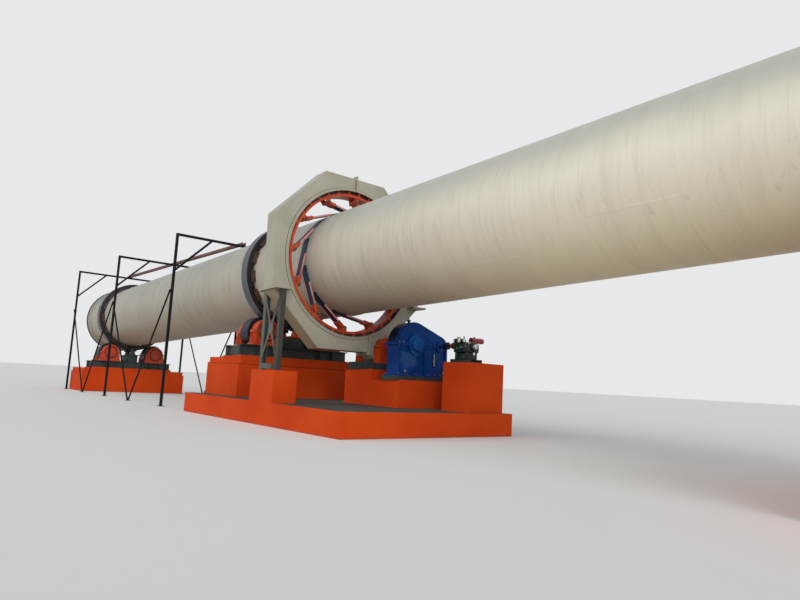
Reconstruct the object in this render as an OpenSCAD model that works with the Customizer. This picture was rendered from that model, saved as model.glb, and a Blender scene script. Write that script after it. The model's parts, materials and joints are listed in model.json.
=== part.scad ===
// Rotary kiln at half size: an inclined drum on three roller stations,
// turned by a girth gear hung on tangential spring plates.
// Millimetres. X runs up the kiln to the feed end, Y is across it, Z is up.
// The origin is on the ground under the axis at the middle riding tyre.

/* [Kiln line] */
// Rise of the kiln axis in degrees
slope = 2.185; // [0:0.005:3.5]
// Height of the axis over the ground at the middle tyre
axis_h = 2673; // [2620:1:2800]
// Distance along the axis from the lower tyre to the middle tyre
span = 9750; // [8500:10:11000]
// Distance along the axis from the middle tyre to the upper tyre
upper_span = 10300; // [8500:10:11000]
// Length of drum past the lower tyre, to the discharge end
discharge_overhang = 1530; // [900:10:2600]
// Length of drum past the upper tyre, to the feed end
feed_overhang = 1500; // [900:10:2600]

/* [Drum] */
// Outer radius of the drum shell
drum_r = 890; // [840:1:920]
// Thickness of the plain shell courses
shell_t = 14; // [8:1:30]
// Thickness of the shell under a riding tyre
tyre_course_t = 26; // [16:1:40]
// Length of the thick shell course under a riding tyre
tyre_course_w = 900; // [600:10:1400]
// Outer radius of the end rings
end_ring_r = 985; // [930:1:1020]
// Length of the end rings along the drum
end_ring_w = 40; // [20:1:80]
// Distance of the end rings from the ends of the shell
end_ring_set = 20; // [5:1:60]

/* [Riding tyres] */
// Rolling radius of the riding tyres
tyre_r = 1030; // [1000:1:1060]
// Width of the riding tyres
tyre_w = 250; // [200:1:320]
// Radial thickness of the riding tyres
tyre_t = 122; // [90:1:126]
// Bevel on the rolling edges of the tyres
tyre_bevel = 12; // [4:1:25]
// Number of pads under each tyre
pad_count = 16; // [8:1:24]
// Share of the way round that the pads cover
pad_cover = 0.62; // [0.4:0.01:0.8]
// Radial gap between neighbouring seats on the drum
seat_gap = 0.3; // [0.1:0.1:1]
// Height of the pad stops that keep the tyre in place
stop_h = 46; // [20:1:80]
// Width of each pad stop along the drum
stop_w = 42; // [20:1:70]

/* [Support rollers] */
// Radius of the support rollers
roller_r = 290; // [255:1:320]
// Width of the support rollers
roller_w = 300; // [260:1:360]
// Angle of the rollers each side of straight down
roller_angle = 30; // [28:0.5:32]
// Running gap between tyre and roller
roll_gap = 0.3; // [0.1:0.1:1]
// Radius of the roller shafts
roller_shaft_r = 88; // [60:1:110]
// Running gap of shafts in their housings
shaft_gap = 0.5; // [0.2:0.1:2]
// Gap between the roller face and its bearing housings
housing_gap = 30; // [15:1:60]
// Width of the roller bearing housings along the shaft
housing_w = 200; // [150:1:240]
// Outer radius of the roller bearing housings
housing_r = 228; // [180:1:240]

/* [Station frames and piers] */
// Gap left between faces that are bolted together
bolted_gap = 0.05; // [0.02:0.01:0.2]
// Height of the steel base frames
frame_h = 200; // [140:1:210]
// Flange width of the base frame beams
beam_w = 190; // [140:1:240]
// Thickness of the beam flanges and webs
beam_t = 16; // [8:1:24]
// Length of the base frames across the kiln
frame_l = 2300; // [2140:10:2400]
// Depth of the pier tops below the axis
pier_drop = 1600; // [1560:1:1650]
// Length of the station piers along the kiln
pier_l = 1340; // [1300:10:1400]
// Width of the middle pier
pier_w = 2400; // [2300:10:2700]
// Width of the outer piers
outer_pier_w = 3000; // [2600:10:3400]
// Shift of the outer piers to the drive side
outer_pier_shift = 100; // [0:5:200]
// Shift of the piers down the kiln
pier_shift = 270; // [230:5:280]
// Thickness of the cap layer of a pier
cap_t = 100; // [50:1:150]
// Setback of the cap layer
cap_set = 40; // [10:1:70]

/* [Main slab] */
// Lower end of the main slab
slab_x0 = -940; // [-1200:10:-760]
// Upper end of the main slab
slab_x1 = 4240; // [4200:10:5000]
// Width of the main slab
slab_w = 3300; // [3240:10:3800]
// Shift of the main slab to the drive side
slab_shift = 90; // [60:10:120]
// Height of the main slab
slab_h = 351; // [200:1:450]

/* [Girth gear] */
// Place of the girth gear along the axis
gear_x = 1905; // [1850:1:1960]
// Gear module
gear_m = 18; // [17:0.5:18]
// Number of teeth of the girth gear
gear_z = 151; // [151:1:151]
// Number of teeth of the pinion
pinion_z = 22; // [22:1:22]
// Face width of the girth gear
gear_w = 200; // [150:1:210]
// Inner radius of the gear rim
gear_ir = 1184; // [1170:1:1220]
// Backlash on the pitch circles
backlash = 3; // [2:0.1:5]

/* [Spring plates] */
// Number of spring plates
spring_count = 12; // [8:1:12]
// Turn of the first spring plate from the drive side
spring_start = 26.5; // [0:0.5:29.5]
// Radius of the circle of the spring plate pins
spring_pin_circle = 1125; // [1110:1:1130]
// Thickness of the spring plates
spring_t = 12; // [6:1:16]
// Width of the spring plates along the drum
spring_w = 150; // [100:1:170]
// Radius of the spring plate pins
spring_pin_r = 16; // [10:1:20]
// Radius of the spring plate eyes and lugs
spring_eye_r = 34; // [28:1:38]
// Thickness of the gear lugs
lug_t = 20; // [14:1:23]

/* [Gear cover] */
// Half distance across the flats of the octagonal cover
cover_flat = 1513; // [1490:1:1540]
// Width of the cover along the drum
cover_w = 300; // [290:1:340]
// Radius of the round cover openings
cover_hole_r = 1274; // [1240:1:1290]
// Thickness of the cover sheet
cover_t = 8; // [5:1:12]
// Height of the cover lips at the openings
cover_lip = 28; // [10:1:40]
// Depth of the split line of the cover below the axis
cover_split = 640; // [628:1:700]
// Place of the upright joint of the pinion section
pinion_joint_y = 400; // [390:1:405]
// Height of the bolting flanges of the cover
cover_flange = 45; // [25:1:60]
// Depth of the flange shelf at the cover's split
cover_shelf = 300; // [250:5:330]
// Clear radius round the pinion inside the cover
pinion_room = 246; // [230:1:252]

/* [Pinion and drive] */
// Angle of the pinion from straight down
pinion_angle = 25.4; // [24:0.1:27]
// Face width of the pinion
pinion_w = 230; // [200:1:240]
// Radius of the pinion shaft
pinion_shaft_r = 62; // [45:1:75]
// Outer radius of the pinion bearing housings
pinion_housing_r = 150; // [110:1:170]
// Width of the pinion bearing housings
pinion_housing_w = 150; // [110:1:170]
// Gap between the cover and the pinion bearing housings
pinion_housing_gap = 40; // [30:1:60]

// Angle of the case's output end, in radius
gearbox_big_r = 375; // [340:1:400]
// Radius of the case over the input shaft
gearbox_small_r = 190; // [150:1:220]
// Distance from the output shaft to the input shaft
gearbox_centres = 540; // [480:10:600]
// Length of the gearbox case along its shafts
gearbox_l = 390; // [340:10:420]
// Number of ribs on each side of the gearbox case
gearbox_ribs = 3; // [2:1:5]
// Outer radius of the shaft coupling flanges
coupling_r = 128; // [100:1:150]
// Radius of the motor body
motor_r = 150; // [120:1:170]
// Length of the motor body
motor_l = 420; // [340:10:460]

/* [Auxiliary engine] */
// Length of the engine block along the shaft
engine_l = 330; // [260:10:380]
// Width of the engine block
engine_w = 260; // [200:10:300]
// Height of the engine block
engine_h = 250; // [200:10:300]
// Number of cooling fins round the cylinder head
engine_fins = 6; // [3:1:8]
// Radius of the fuel tank
tank_r = 45; // [30:1:60]
// Length of the fuel tank
tank_l = 270; // [180:10:320]

/* [Portal frames] */
// Gap between the drum and the beam of the upper portal frame
portal_gap = 172; // [120:2:400]
// Distance of the front posts from the outer pier's front side
portal_front_gap = 100; // [90:5:300]
// Distance of the rear posts from the outer pier's rear side
portal_rear_gap = 330; // [120:5:500]
// Place of the upper portal frame
portal_x = -2350; // [-2600:10:-1200]
// Distance of the lower portal frame past the lower tyre
portal_past = 780; // [740:10:1000]
// Side of the square posts and beams
portal_s = 50; // [30:1:70]
// Reach of the knee braces along post and beam
knee = 770; // [500:10:800]
// Side of the knee brace bars
knee_s = 42; // [20:1:60]
// Side of the sloping brace bars
brace_s = 30; // [20:1:40]
// Height at which the sloping braces meet the posts
brace_h = 2430; // [1800:10:2800]

/* [Hidden] */
eps = 0.01;
$fn = 96;
station_x = [-span, 0, upper_span];
discharge_x = -span - discharge_overhang;
feed_x = upper_span + feed_overhang;
tyre_ir = tyre_r - tyre_t;
roller_c = tyre_r + roller_r + roll_gap;
roller_y = roller_c * sin(roller_angle);
roller_z = -roller_c * cos(roller_angle);
housing_x = roller_w / 2 + housing_gap + housing_w / 2;
gear_pr = gear_m * gear_z / 2;
pinion_pr = gear_m * pinion_z / 2;
gear_tip = gear_pr + gear_m;
gear_root = gear_pr - 1.25 * gear_m;
mesh_c = gear_pr + pinion_pr;
pinion_y = mesh_c * sin(pinion_angle);
pinion_z0 = -mesh_c * cos(pinion_angle);
slab_top = slab_h;

// Children are placed in the kiln's own frame, with X along its axis
module on_axis() {
    translate([0, 0, axis_h]) rotate([0, -slope, 0]) children();
}

// A flat drawing in Y and Z is raised along X from x0
module along_x(x0) {
    translate([x0, 0, 0]) rotate([90, 0, 90]) children();
}

module ring_x(x0, w, ro, ri) {
    along_x(x0) difference() {
        cylinder(h = w, r = ro);
        translate([0, 0, -1]) cylinder(h = w + 2, r = ri);
    }
}

function shell_profile() = [
    [drum_r, discharge_x], [drum_r, discharge_x + end_ring_set],
    [end_ring_r, discharge_x + end_ring_set],
    [end_ring_r, discharge_x + end_ring_set + end_ring_w],
    [drum_r, discharge_x + end_ring_set + end_ring_w],
    [drum_r, feed_x - end_ring_set - end_ring_w],
    [end_ring_r, feed_x - end_ring_set - end_ring_w],
    [end_ring_r, feed_x - end_ring_set], [drum_r, feed_x - end_ring_set],
    [drum_r, feed_x],
    [drum_r - shell_t, feed_x],
    for (i = [2, 1, 0]) each [
        [drum_r - shell_t, station_x[i] + tyre_course_w / 2 + 30],
        [drum_r - tyre_course_t, station_x[i] + tyre_course_w / 2],
        [drum_r - tyre_course_t, station_x[i] - tyre_course_w / 2],
        [drum_r - shell_t, station_x[i] - tyre_course_w / 2 - 30]
    ],
    [drum_r - shell_t, discharge_x]
];

module kiln_shell() {
    color("wheat") on_axis() along_x(0) rotate_extrude() polygon(shell_profile());
}

module tyre(i) {
    h = tyre_w / 2;
    b = tyre_bevel;
    color("dimgray") on_axis() along_x(station_x[i]) rotate_extrude()
        polygon([
            [tyre_ir, -h], [tyre_r - b, -h], [tyre_r, -h + b],
            [tyre_r, h - b], [tyre_r - b, h], [tyre_ir, h]
        ]);
}

module tyre_lower() {
    tyre(0);
}

module tyre_middle() {
    tyre(1);
}

module tyre_upper() {
    tyre(2);
}

// Pads carry the tyre; a stop at each end keeps it in place
module tyre_pads(i) {
    a = 360 / pad_count * pad_cover;
    h = tyre_w / 2 + 2;
    r0 = drum_r + seat_gap;
    r1 = tyre_ir - seat_gap;
    color("saddlebrown") on_axis() along_x(station_x[i])
        for (k = [0 : pad_count - 1])
            rotate([0, 0, 360 / pad_count * k]) rotate_extrude(angle = a)
                polygon([
                    [r0, -h - stop_w - 30], [r1, -h - stop_w], [r1 + stop_h, -h - stop_w],
                    [r1 + stop_h, -h], [r1, -h], [r1, h],
                    [r1 + stop_h, h], [r1 + stop_h, h + stop_w], [r1, h + stop_w],
                    [r0, h + stop_w + 30]
                ]);
}

module tyre_pads_lower() {
    tyre_pads(0);
}

module tyre_pads_middle() {
    tyre_pads(1);
}

module tyre_pads_upper() {
    tyre_pads(2);
}

// Involute of the pressure angle, in radians
function inv(a) = tan(a) - a * PI / 180;

// Half the angle that a tooth fills at radius r, in degrees
function tooth_half(z, m, play, r) =
    let (pr = m * z / 2, rb = pr * cos(20))
    ((PI * m / 4 - play / 4) / pr + inv(20) - (r > rb ? inv(acos(rb / r)) : 0)) * 180 / PI;

// Radii at which the flank of a tooth is drawn, from root to tip
function flank_radii(z, m, steps) =
    let (
        root = m * z / 2 - 1.25 * m,
        tip = m * z / 2 + m,
        low = max(root, m * z / 2 * cos(20))
    )
    concat(
        root < low ? [root] : [],
        [for (k = [0 : steps]) low + (tip - low) * k / steps]
    );

// Outline of a toothed wheel with involute flanks
function wheel(z, m, play, shift, steps) =
    let (rs = flank_radii(z, m, steps), n = len(rs))
    [
        for (i = [0 : z - 1], k = [0 : 2 * n - 1])
            let (
                r = k < n ? rs[k] : rs[2 * n - 1 - k],
                a = (i + shift) * 360 / z + (k < n ? -1 : 1) * tooth_half(z, m, play, r)
            )
            [r * cos(a), r * sin(a)]
    ];

// A lug widens from its eye towards the gear rim
module lug_outline() {
    l = gear_ir - spring_pin_circle + 6;
    circle(r = spring_eye_r);
    polygon([
        [0, 3 - spring_eye_r], [l, -spring_eye_r - 12],
        [l, spring_eye_r + 12], [0, spring_eye_r - 3]
    ]);
}

// The gear rim carries pairs of lugs inside, each pair with its pin
module girth_gear() {
    lug_x = spring_w / 2 + 1;
    pin_l = 2 * (lug_x + lug_t) + 16;
    color("orangered") on_axis() {
        along_x(gear_x - gear_w / 2) linear_extrude(gear_w) difference() {
            rotate([0, 0, pinion_angle - 90]) polygon(wheel(gear_z, gear_m, backlash, 0, 1));
            circle(r = gear_ir, $fn = 180);
        }
        for (k = [0 : spring_count - 1]) {
            for (s = [-lug_x - lug_t, lug_x])
                along_x(gear_x + s) rotate([0, 0, 360 / spring_count * k + spring_start])
                    translate([spring_pin_circle, 0]) linear_extrude(lug_t) lug_outline();
            along_x(gear_x - pin_l / 2) rotate([0, 0, 360 / spring_count * k + spring_start])
                translate([spring_pin_circle, 0]) cylinder(h = pin_l, r = spring_pin_r);
        }
    }
}

// A plate leaves its pin eye, meets the shell on a tangent and lies on it
module spring_outline() {
    rs = drum_r + seat_gap;
    rm = rs + spring_t / 2;
    a = acos(rm / spring_pin_circle);
    l = sqrt(spring_pin_circle * spring_pin_circle - rm * rm);
    difference() {
        union() {
            rotate([0, 0, -a]) translate([rs, 0]) square([spring_t, l]);
            translate([spring_pin_circle, 0]) circle(r = spring_eye_r - 6);
            intersection() {
                difference() {
                    circle(r = rs + spring_t, $fn = 180);
                    circle(r = rs, $fn = 180);
                }
                rotate([0, 0, -a - 9]) translate([rs - 40, 0]) square([100, 160]);
                rotate([0, 0, -a]) translate([rs - 40, -160]) square([100, 160]);
            }
        }
        translate([spring_pin_circle, 0]) circle(r = spring_pin_r + 0.2);
    }
}

module spring_plates() {
    color("midnightblue") on_axis()
        for (k = [0 : spring_count - 1])
            along_x(gear_x - spring_w / 2) rotate([0, 0, 360 / spring_count * k + spring_start])
                linear_extrude(spring_w) spring_outline();
}

// The roller has a dished face each side and a stepped shaft
module roller(i, side) {
    w = roller_w / 2;
    e = housing_x + housing_w / 2 - 30;
    color("slategray") on_axis() translate([station_x[i], side * roller_y, roller_z])
        along_x(0) rotate_extrude() polygon([
            [0, -e], [roller_shaft_r, -e], [roller_shaft_r, -w - housing_gap + 6],
            [roller_shaft_r + 16, -w - housing_gap + 6], [roller_shaft_r + 16, -w + 6],
            [roller_shaft_r + 50, -w + 6],
            [roller_shaft_r + 60, -w + 26], [roller_r - 70, -w + 26], [roller_r - 60, -w],
            [roller_r - 10, -w], [roller_r, -w + 10], [roller_r, w - 10], [roller_r - 10, w],
            [roller_r - 60, w], [roller_r - 70, w - 26], [roller_shaft_r + 60, w - 26],
            [roller_shaft_r + 50, w - 6], [roller_shaft_r + 16, w - 6],
            [roller_shaft_r + 16, w + housing_gap - 6],
            [roller_shaft_r, w + housing_gap - 6], [roller_shaft_r, e], [0, e]
        ]);
}

module roller_lower_front() {
    roller(0, -1);
}

module roller_lower_rear() {
    roller(0, 1);
}

module roller_middle_front() {
    roller(1, -1);
}

module roller_middle_rear() {
    roller(1, 1);
}

module roller_upper_front() {
    roller(2, -1);
}

module roller_upper_rear() {
    roller(2, 1);
}

// A pillow block seen along its shaft: sole plate, splayed body, split
// flanges, round top with an end cap and a lifting eye
module pillow(r, w, shaft, foot_w, foot_z, cap) {
    difference() {
        union() {
            linear_extrude(w) {
                circle(r = r);
                polygon([
                    [-r - 24, foot_z + 30], [r + 24, foot_z + 30], [r - 4, -10],
                    [r - 4, 10], [4 - r, 10], [4 - r, -10]
                ]);
            }
            translate([0, 0, -12]) linear_extrude(w + 24)
                translate([-foot_w / 2, foot_z]) square([foot_w, 34]);
            translate([0, 0, 12]) linear_extrude(w - 24)
                translate([-r - 34, -18]) square([2 * r + 68, 36]);
            for (s = [-1, 1], z = [w * 0.25 - 8, w * 0.75 - 8])
                translate([0, 0, z]) linear_extrude(16) polygon([
                    [s * (r - 6), -20], [s * (r + 30), -20],
                    [s * (foot_w / 2 - 8), foot_z + 32], [s * (r - 6), foot_z + 32]
                ]);
            translate([0, 0, w - 1]) cylinder(h = cap + 1, r = r * 0.7);
            translate([0, 0, w + cap - 1]) cylinder(h = 11, r = r * 0.42);
            translate([0, r - 8, w / 2]) rotate([-90, 0, 0]) cylinder(h = 34, r = r * 0.1);
        }
        translate([0, 0, -13]) cylinder(h = w - 22 + 13, r = shaft + shaft_gap);
    }
}

module roller_housings(i) {
    foot_z = -pier_drop + frame_h + 2 * bolted_gap - roller_z;
    color("orangered") on_axis()
        for (side = [-1, 1], e = [0, 1])
            translate([station_x[i], side * roller_y, roller_z])
                mirror([e, 0, 0]) along_x(housing_x - housing_w / 2)
                    pillow(housing_r, housing_w, roller_shaft_r, 2 * housing_r + 130, foot_z, 16);
}

module roller_housings_lower() {
    roller_housings(0);
}

module roller_housings_middle() {
    roller_housings(1);
}

module roller_housings_upper() {
    roller_housings(2);
}

// A beam along Y with the section of a rolled I
module beam_y(x, l, z) {
    t = beam_t;
    translate([x, l / 2, z]) rotate([90, 0, 0]) linear_extrude(l) {
        translate([-beam_w / 2, 0]) square([beam_w, t]);
        translate([-beam_w / 2, frame_h - t]) square([beam_w, t]);
        translate([-t / 2, t - eps]) square([t, frame_h - 2 * t + 2 * eps]);
    }
}

module base_frame(i) {
    x = housing_x;
    color("darkslategray") on_axis() translate([station_x[i], 0, -pier_drop + bolted_gap]) {
        for (s = [-1, 1])
            beam_y(s * x, frame_l, 0);
        for (y = [-frame_l / 2 + 70, -110, 110, frame_l / 2 - 70])
            translate([-x + beam_t / 2, y - 10, beam_t])
                cube([2 * x - beam_t, 20, frame_h - 2 * beam_t]);
        for (s = [-1, 1], y = [-1, 1], d = [-150, 150])
            translate([s * x - beam_w / 2, y * roller_y + d - 8, beam_t])
                cube([beam_w, 16, frame_h - 2 * beam_t]);
    }
}

module base_frame_lower() {
    base_frame(0);
}

module base_frame_middle() {
    base_frame(1);
}

module base_frame_upper() {
    base_frame(2);
}

// Everything above a plane of the kiln's own frame
module above(drop) {
    on_axis() translate([-2 * span, -5000, -drop]) cube([2 * span + 2 * upper_span, 10000, 5000]);
}

// A pier block with a set-back cap and a sloped bed for the base frame
module pier(i, w, shift, z0) {
    cx = station_x[i] * cos(slope) + pier_drop * sin(slope);
    x0 = cx - pier_shift - pier_l / 2;
    bed = housing_x + beam_w / 2 + 20;
    top = axis_h - pier_drop / cos(slope) + tan(slope) * (cx - bed) - 15;
    translate([x0, shift - w / 2, z0]) cube([pier_l, w, top - cap_t - z0]);
    translate([x0, shift - w / 2 + cap_set, top - cap_t - eps])
        cube([pier_l, w - 2 * cap_set, cap_t + eps]);
    difference() {
        translate([cx - bed, -frame_l / 2 - 20, top - eps]) cube([2 * bed, frame_l + 40, 120]);
        above(pier_drop);
    }
}

module pier_lower() {
    color("orangered") pier(0, outer_pier_w, outer_pier_shift, 0);
}

module pier_upper() {
    color("orangered") pier(2, outer_pier_w, outer_pier_shift, 0);
}

/* [Hidden] */
leg_pier_x = 1690;
leg_pier_l = 720;
leg_pier_w = 410;
leg_pier_top = 837;
drive_y0 = 270;
drive_y1 = 1540;
pinion_step_x = 1660;
pinion_step_l = 740;
pinion_step_w = 740;
pinion_step_drop = 1812;
box_step_x1 = 3160;
box_step_drop = 1995;
engine_pier_x = 3540;
engine_pier_l = 610;
engine_pier_y = 850;
engine_pier_w = 750;
engine_pier_drop = 1690;
engine_pier_top = axis_h + tan(slope) * engine_pier_x - engine_pier_drop;

module block_under(x0, x1, y0, y1, drop) {
    difference() {
        translate([x0, y0, slab_top - eps]) cube([x1 - x0, y1 - y0, 1500]);
        above(drop);
    }
}

module main_foundation() {
    color("orangered") {
        translate([slab_x0, slab_shift - slab_w / 2, 0]) cube([slab_x1 - slab_x0, slab_w, slab_h]);
        pier(1, pier_w, 0, slab_top - eps);
        translate([leg_pier_x, -leg_y - leg_pier_w / 2 + 45, slab_top - eps])
            cube([leg_pier_l, leg_pier_w, leg_pier_top - slab_top + eps]);
        block_under(pinion_step_x, pinion_step_x + pinion_step_l, drive_y0, drive_y0 + pinion_step_w,
            pinion_step_drop);
        block_under(pinion_step_x, box_step_x1, drive_y0, drive_y1, box_step_drop);
        translate([engine_pier_x, engine_pier_y, slab_top - eps])
            cube([engine_pier_l, engine_pier_w, engine_pier_top - slab_top + eps]);
    }
}

// Outline of the cover: an octagon with a round bulge over the pinion
module cover_outline(inset) {
    d = cover_flat - inset;
    rotate([0, 0, 22.5]) circle(r = d / cos(22.5), $fn = 8);
    translate([pinion_y, pinion_z0]) circle(r = pinion_room + cover_t - inset);
}

module cover_box() {
    w = cover_w;
    t = cover_t;
    along_x(gear_x - w / 2) difference() {
        linear_extrude(w) cover_outline(0);
        translate([0, 0, t]) linear_extrude(w - 2 * t) cover_outline(t);
        translate([0, 0, -1]) cylinder(h = w + 2, r = cover_hole_r, $fn = 180);
        translate([pinion_y, pinion_z0, -1]) cylinder(h = w + 2, r = pinion_shaft_r + 12);
    }
    for (x = [gear_x - w / 2 - cover_lip + eps, gear_x + w / 2 - eps])
        ring_x(x, cover_lip, cover_hole_r + t, cover_hole_r);
}

// Bolting flange along a cut, standing out of the cover all round
module flange_bar(y, z, l, h, upright) {
    t = 12;
    x0 = gear_x - cover_w / 2 - cover_flange;
    w = cover_w + 2 * cover_flange;
    lw = 2 * leg_dx + leg_s + 24;
    if (upright)
        translate([x0, y, z]) cube([w, t, l]);
    else
        translate([leg_x - lw / 2, y, z]) cube([lw, l, t]);
}

far = 2 * cover_flat;

// The room that the bolting flanges stay out of, to half the sheet's depth
module cover_inside() {
    h = cover_t / 2;
    along_x(gear_x - cover_w / 2 + h) linear_extrude(cover_w - 2 * h) cover_outline(h);
    along_x(gear_x - 400) cylinder(h = 800, r = cover_hole_r + h, $fn = 180);
}

module cover_half_planes(y0, y1, z0, z1) {
    translate([gear_x - 400, y0, z0]) cube([800, y1 - y0, z1 - z0]);
}

module cover_upper_side(s) {
    g = 0.5;
    side_y = cover_flat + cover_flange;
    color("beige") on_axis() {
        intersection() {
            cover_box();
            if (s < 0)
                cover_half_planes(-far, -g, -cover_split + g, far);
            else
                cover_half_planes(g, far, -cover_split + g, far);
        }
        difference() {
            union() {
                translate([0, s < 0 ? -12 - g : g, 0])
                    flange_bar(0, cover_hole_r, cover_flat - cover_hole_r + cover_flange, 0, true);
                translate([0, s < 0 ? -side_y : side_y - cover_shelf, 0])
                    flange_bar(0, -cover_split + g, cover_shelf, 0, false);
            }
            cover_inside();
        }
    }
}

module cover_upper_front() {
    cover_upper_side(-1);
}

module cover_upper_rear() {
    cover_upper_side(1);
}

module cover_lower_part(s) {
    g = 0.5;
    side_y = cover_flat + cover_flange;
    color("beige") on_axis() {
        intersection() {
            cover_box();
            if (s < 0)
                cover_half_planes(-far, pinion_joint_y - g, -far, -cover_split - g);
            else
                cover_half_planes(pinion_joint_y + g, far, -far, -cover_split - g);
        }
        if (s > 0)
            cover_bracket();
        difference() {
            union() {
                translate([0, s < 0 ? pinion_joint_y - 12 - g : pinion_joint_y + g, 0])
                    flange_bar(0, -cover_flat - cover_flange, cover_flat - cover_hole_r * 0.926, 0, true);
                translate([0, s < 0 ? -side_y : side_y - cover_shelf, 0])
                    flange_bar(0, -cover_split - g - 12, cover_shelf, 0, false);
            }
            cover_inside();
        }
    }
}

module cover_lower() {
    cover_lower_part(-1);
}

module cover_pinion() {
    cover_lower_part(1);
}

leg_dx = 242;
leg_y = 1400;
leg_s = 80;
leg_x = gear_x + 50;

// Two channel posts with crossed ties, carrying the cover at its split flange
module cover_leg_front() {
    seat = cover_split + 0.5 + 12 + bolted_gap;
    xm = leg_x * cos(slope) + seat * sin(slope);
    zt = axis_h + leg_x * sin(slope) - seat * cos(slope);
    h = zt - leg_pier_top;
    tie = h - 220;
    color("lightslategray") {
        difference() {
            union() {
                for (d = [-1, 1])
                    translate([xm + d * leg_dx, -leg_y, leg_pier_top])
                        linear_extrude(h + 60) difference() {
                            square(leg_s, center = true);
                            translate([-d * 8, 0]) square([leg_s, leg_s - 16], center = true);
                        }
                translate([xm - leg_dx, -leg_y - leg_s / 2, leg_pier_top + 20])
                    cube([2 * leg_dx, 8, 80]);
                for (m = [0, 1])
                    translate([xm, -leg_y - leg_s / 2 + 8 * m + 4, leg_pier_top + 130])
                        mirror([m, 0, 0]) rotate([90, 0, 0]) linear_extrude(8) polygon([
                            [-leg_dx - 30, 0], [-leg_dx + 14, 0],
                            [leg_dx + 30, tie], [leg_dx - 14, tie]
                        ]);
                translate([xm - 60, -leg_y - leg_s / 2 - 4, leg_pier_top + 130 + tie / 2 - 75])
                    cube([120, 16, 150]);
            }
            above(seat);
        }
        on_axis() for (d = [-1, 1])
            translate([leg_x + d * leg_dx - leg_s / 2, -leg_y - leg_s / 2 - 8, -seat - 14])
                cube([leg_s, leg_s + 16, 14]);
    }
}

// A short bracket under the slanted wall of the pinion section, on the plinth
module cover_bracket() {
    c = cover_flat * (1 + tan(22.5));
    y0 = drive_y0 + pinion_step_w + 40;
    w = cover_w - 60;
    difference() {
        translate([gear_x, 0, 0]) {
            for (d = [-1, 1])
                translate([d * (w / 2 - 5) - 5, y0, -box_step_drop + bolted_gap])
                    cube([10, 130, 1200]);
            translate([-w / 2, y0 + 58, -box_step_drop + bolted_gap]) cube([w, 12, 1200]);
            translate([-w / 2 - 30, y0 - 15, -box_step_drop + bolted_gap]) cube([w + 60, 160, 14]);
        }
        translate([gear_x - 600, 0, 4 - c]) rotate([45, 0, 0]) cube([1200, 3000, 3000]);
    }
}

pinion_bearing_x = cover_w / 2 + pinion_housing_gap + pinion_housing_w / 2;
box_x0 = 2660;
box_x1 = box_x0 + gearbox_l;
box_y = pinion_y + gearbox_centres;
motor_x1 = box_x0 - 190;
engine_x0 = 3520;
box_gap = 30;

// The teeth are cut on the shaft, which runs into the gearbox's output boss
module pinion() {
    w = pinion_w / 2;
    e = pinion_bearing_x + pinion_housing_w / 2;
    color("firebrick") on_axis() translate([0, pinion_y, pinion_z0]) {
        along_x(gear_x - w) linear_extrude(pinion_w)
            rotate([0, 0, 90 + pinion_angle]) polygon(wheel(pinion_z, gear_m, backlash, 0.5, 3));
        along_x(gear_x - e + 30) cylinder(h = box_x0 - box_gap / 2 - gear_x + e - 30, r = pinion_shaft_r);
    }
}

// Half of a flanged gear coupling, from its hub to its flange face
function coupling_half(r, shaft, l) = [
    [shaft, 0], [r * 0.62, 0], [r * 0.62, l * 0.42], [r * 0.8, l * 0.5],
    [r * 0.8, l - 18], [r, l - 18], [r, l - 1], [r * 0.5, l - 1], [r * 0.5, l], [shaft, l]
];

module coupling(r, shaft, l) {
    rotate_extrude() polygon(coupling_half(r, shaft, l / 2));
    translate([0, 0, l]) mirror([0, 0, 1]) rotate_extrude() polygon(coupling_half(r, shaft, l / 2));
}

module pinion_coupling() {
    x0 = gear_x + pinion_bearing_x + pinion_housing_w / 2 + 55;
    color("firebrick") on_axis() translate([0, pinion_y, pinion_z0])
        along_x(x0) coupling(coupling_r, pinion_shaft_r + bolted_gap, 270);
}

module pinion_housings() {
    foot_z = -pinion_step_drop + 110 + 2 * bolted_gap - pinion_z0;
    color("orangered") on_axis() translate([gear_x, pinion_y, pinion_z0]) {
        mirror([1, 0, 0]) along_x(pinion_bearing_x - pinion_housing_w / 2)
            pillow(pinion_housing_r, pinion_housing_w, pinion_shaft_r, 420, foot_z, 14);
        difference() {
            along_x(pinion_bearing_x - pinion_housing_w / 2)
                pillow(pinion_housing_r, pinion_housing_w, pinion_shaft_r, 420, foot_z, 14);
            along_x(0) cylinder(h = 900, r = pinion_shaft_r + shaft_gap);
        }
    }
}

module pinion_frame() {
    x = pinion_bearing_x;
    color("darkslategray") on_axis() translate([gear_x, pinion_y, -pinion_step_drop + bolted_gap]) {
        for (s = [-1, 1])
            translate([s * x - 80, -240, 0]) cube([160, 480, 110]);
        for (s = [-1, 1])
            translate([-x + 80 - eps, s * 220 - 14, 0]) cube([2 * x - 160 + 2 * eps, 28, 110]);
    }
}

// Case outline: a large circle over the output gear, a small one over the input
module gearbox_top(big, small, gap) {
    a = acos((big - small) / gap);
    lap = 2;
    circle(r = big);
    translate([gap, 0]) circle(r = small);
    polygon([
        [0, 0], [gap, 0], [gap + (small - lap) * cos(a), (small - lap) * sin(a)],
        [(big - lap) * cos(a), (big - lap) * sin(a)]
    ]);
}

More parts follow.
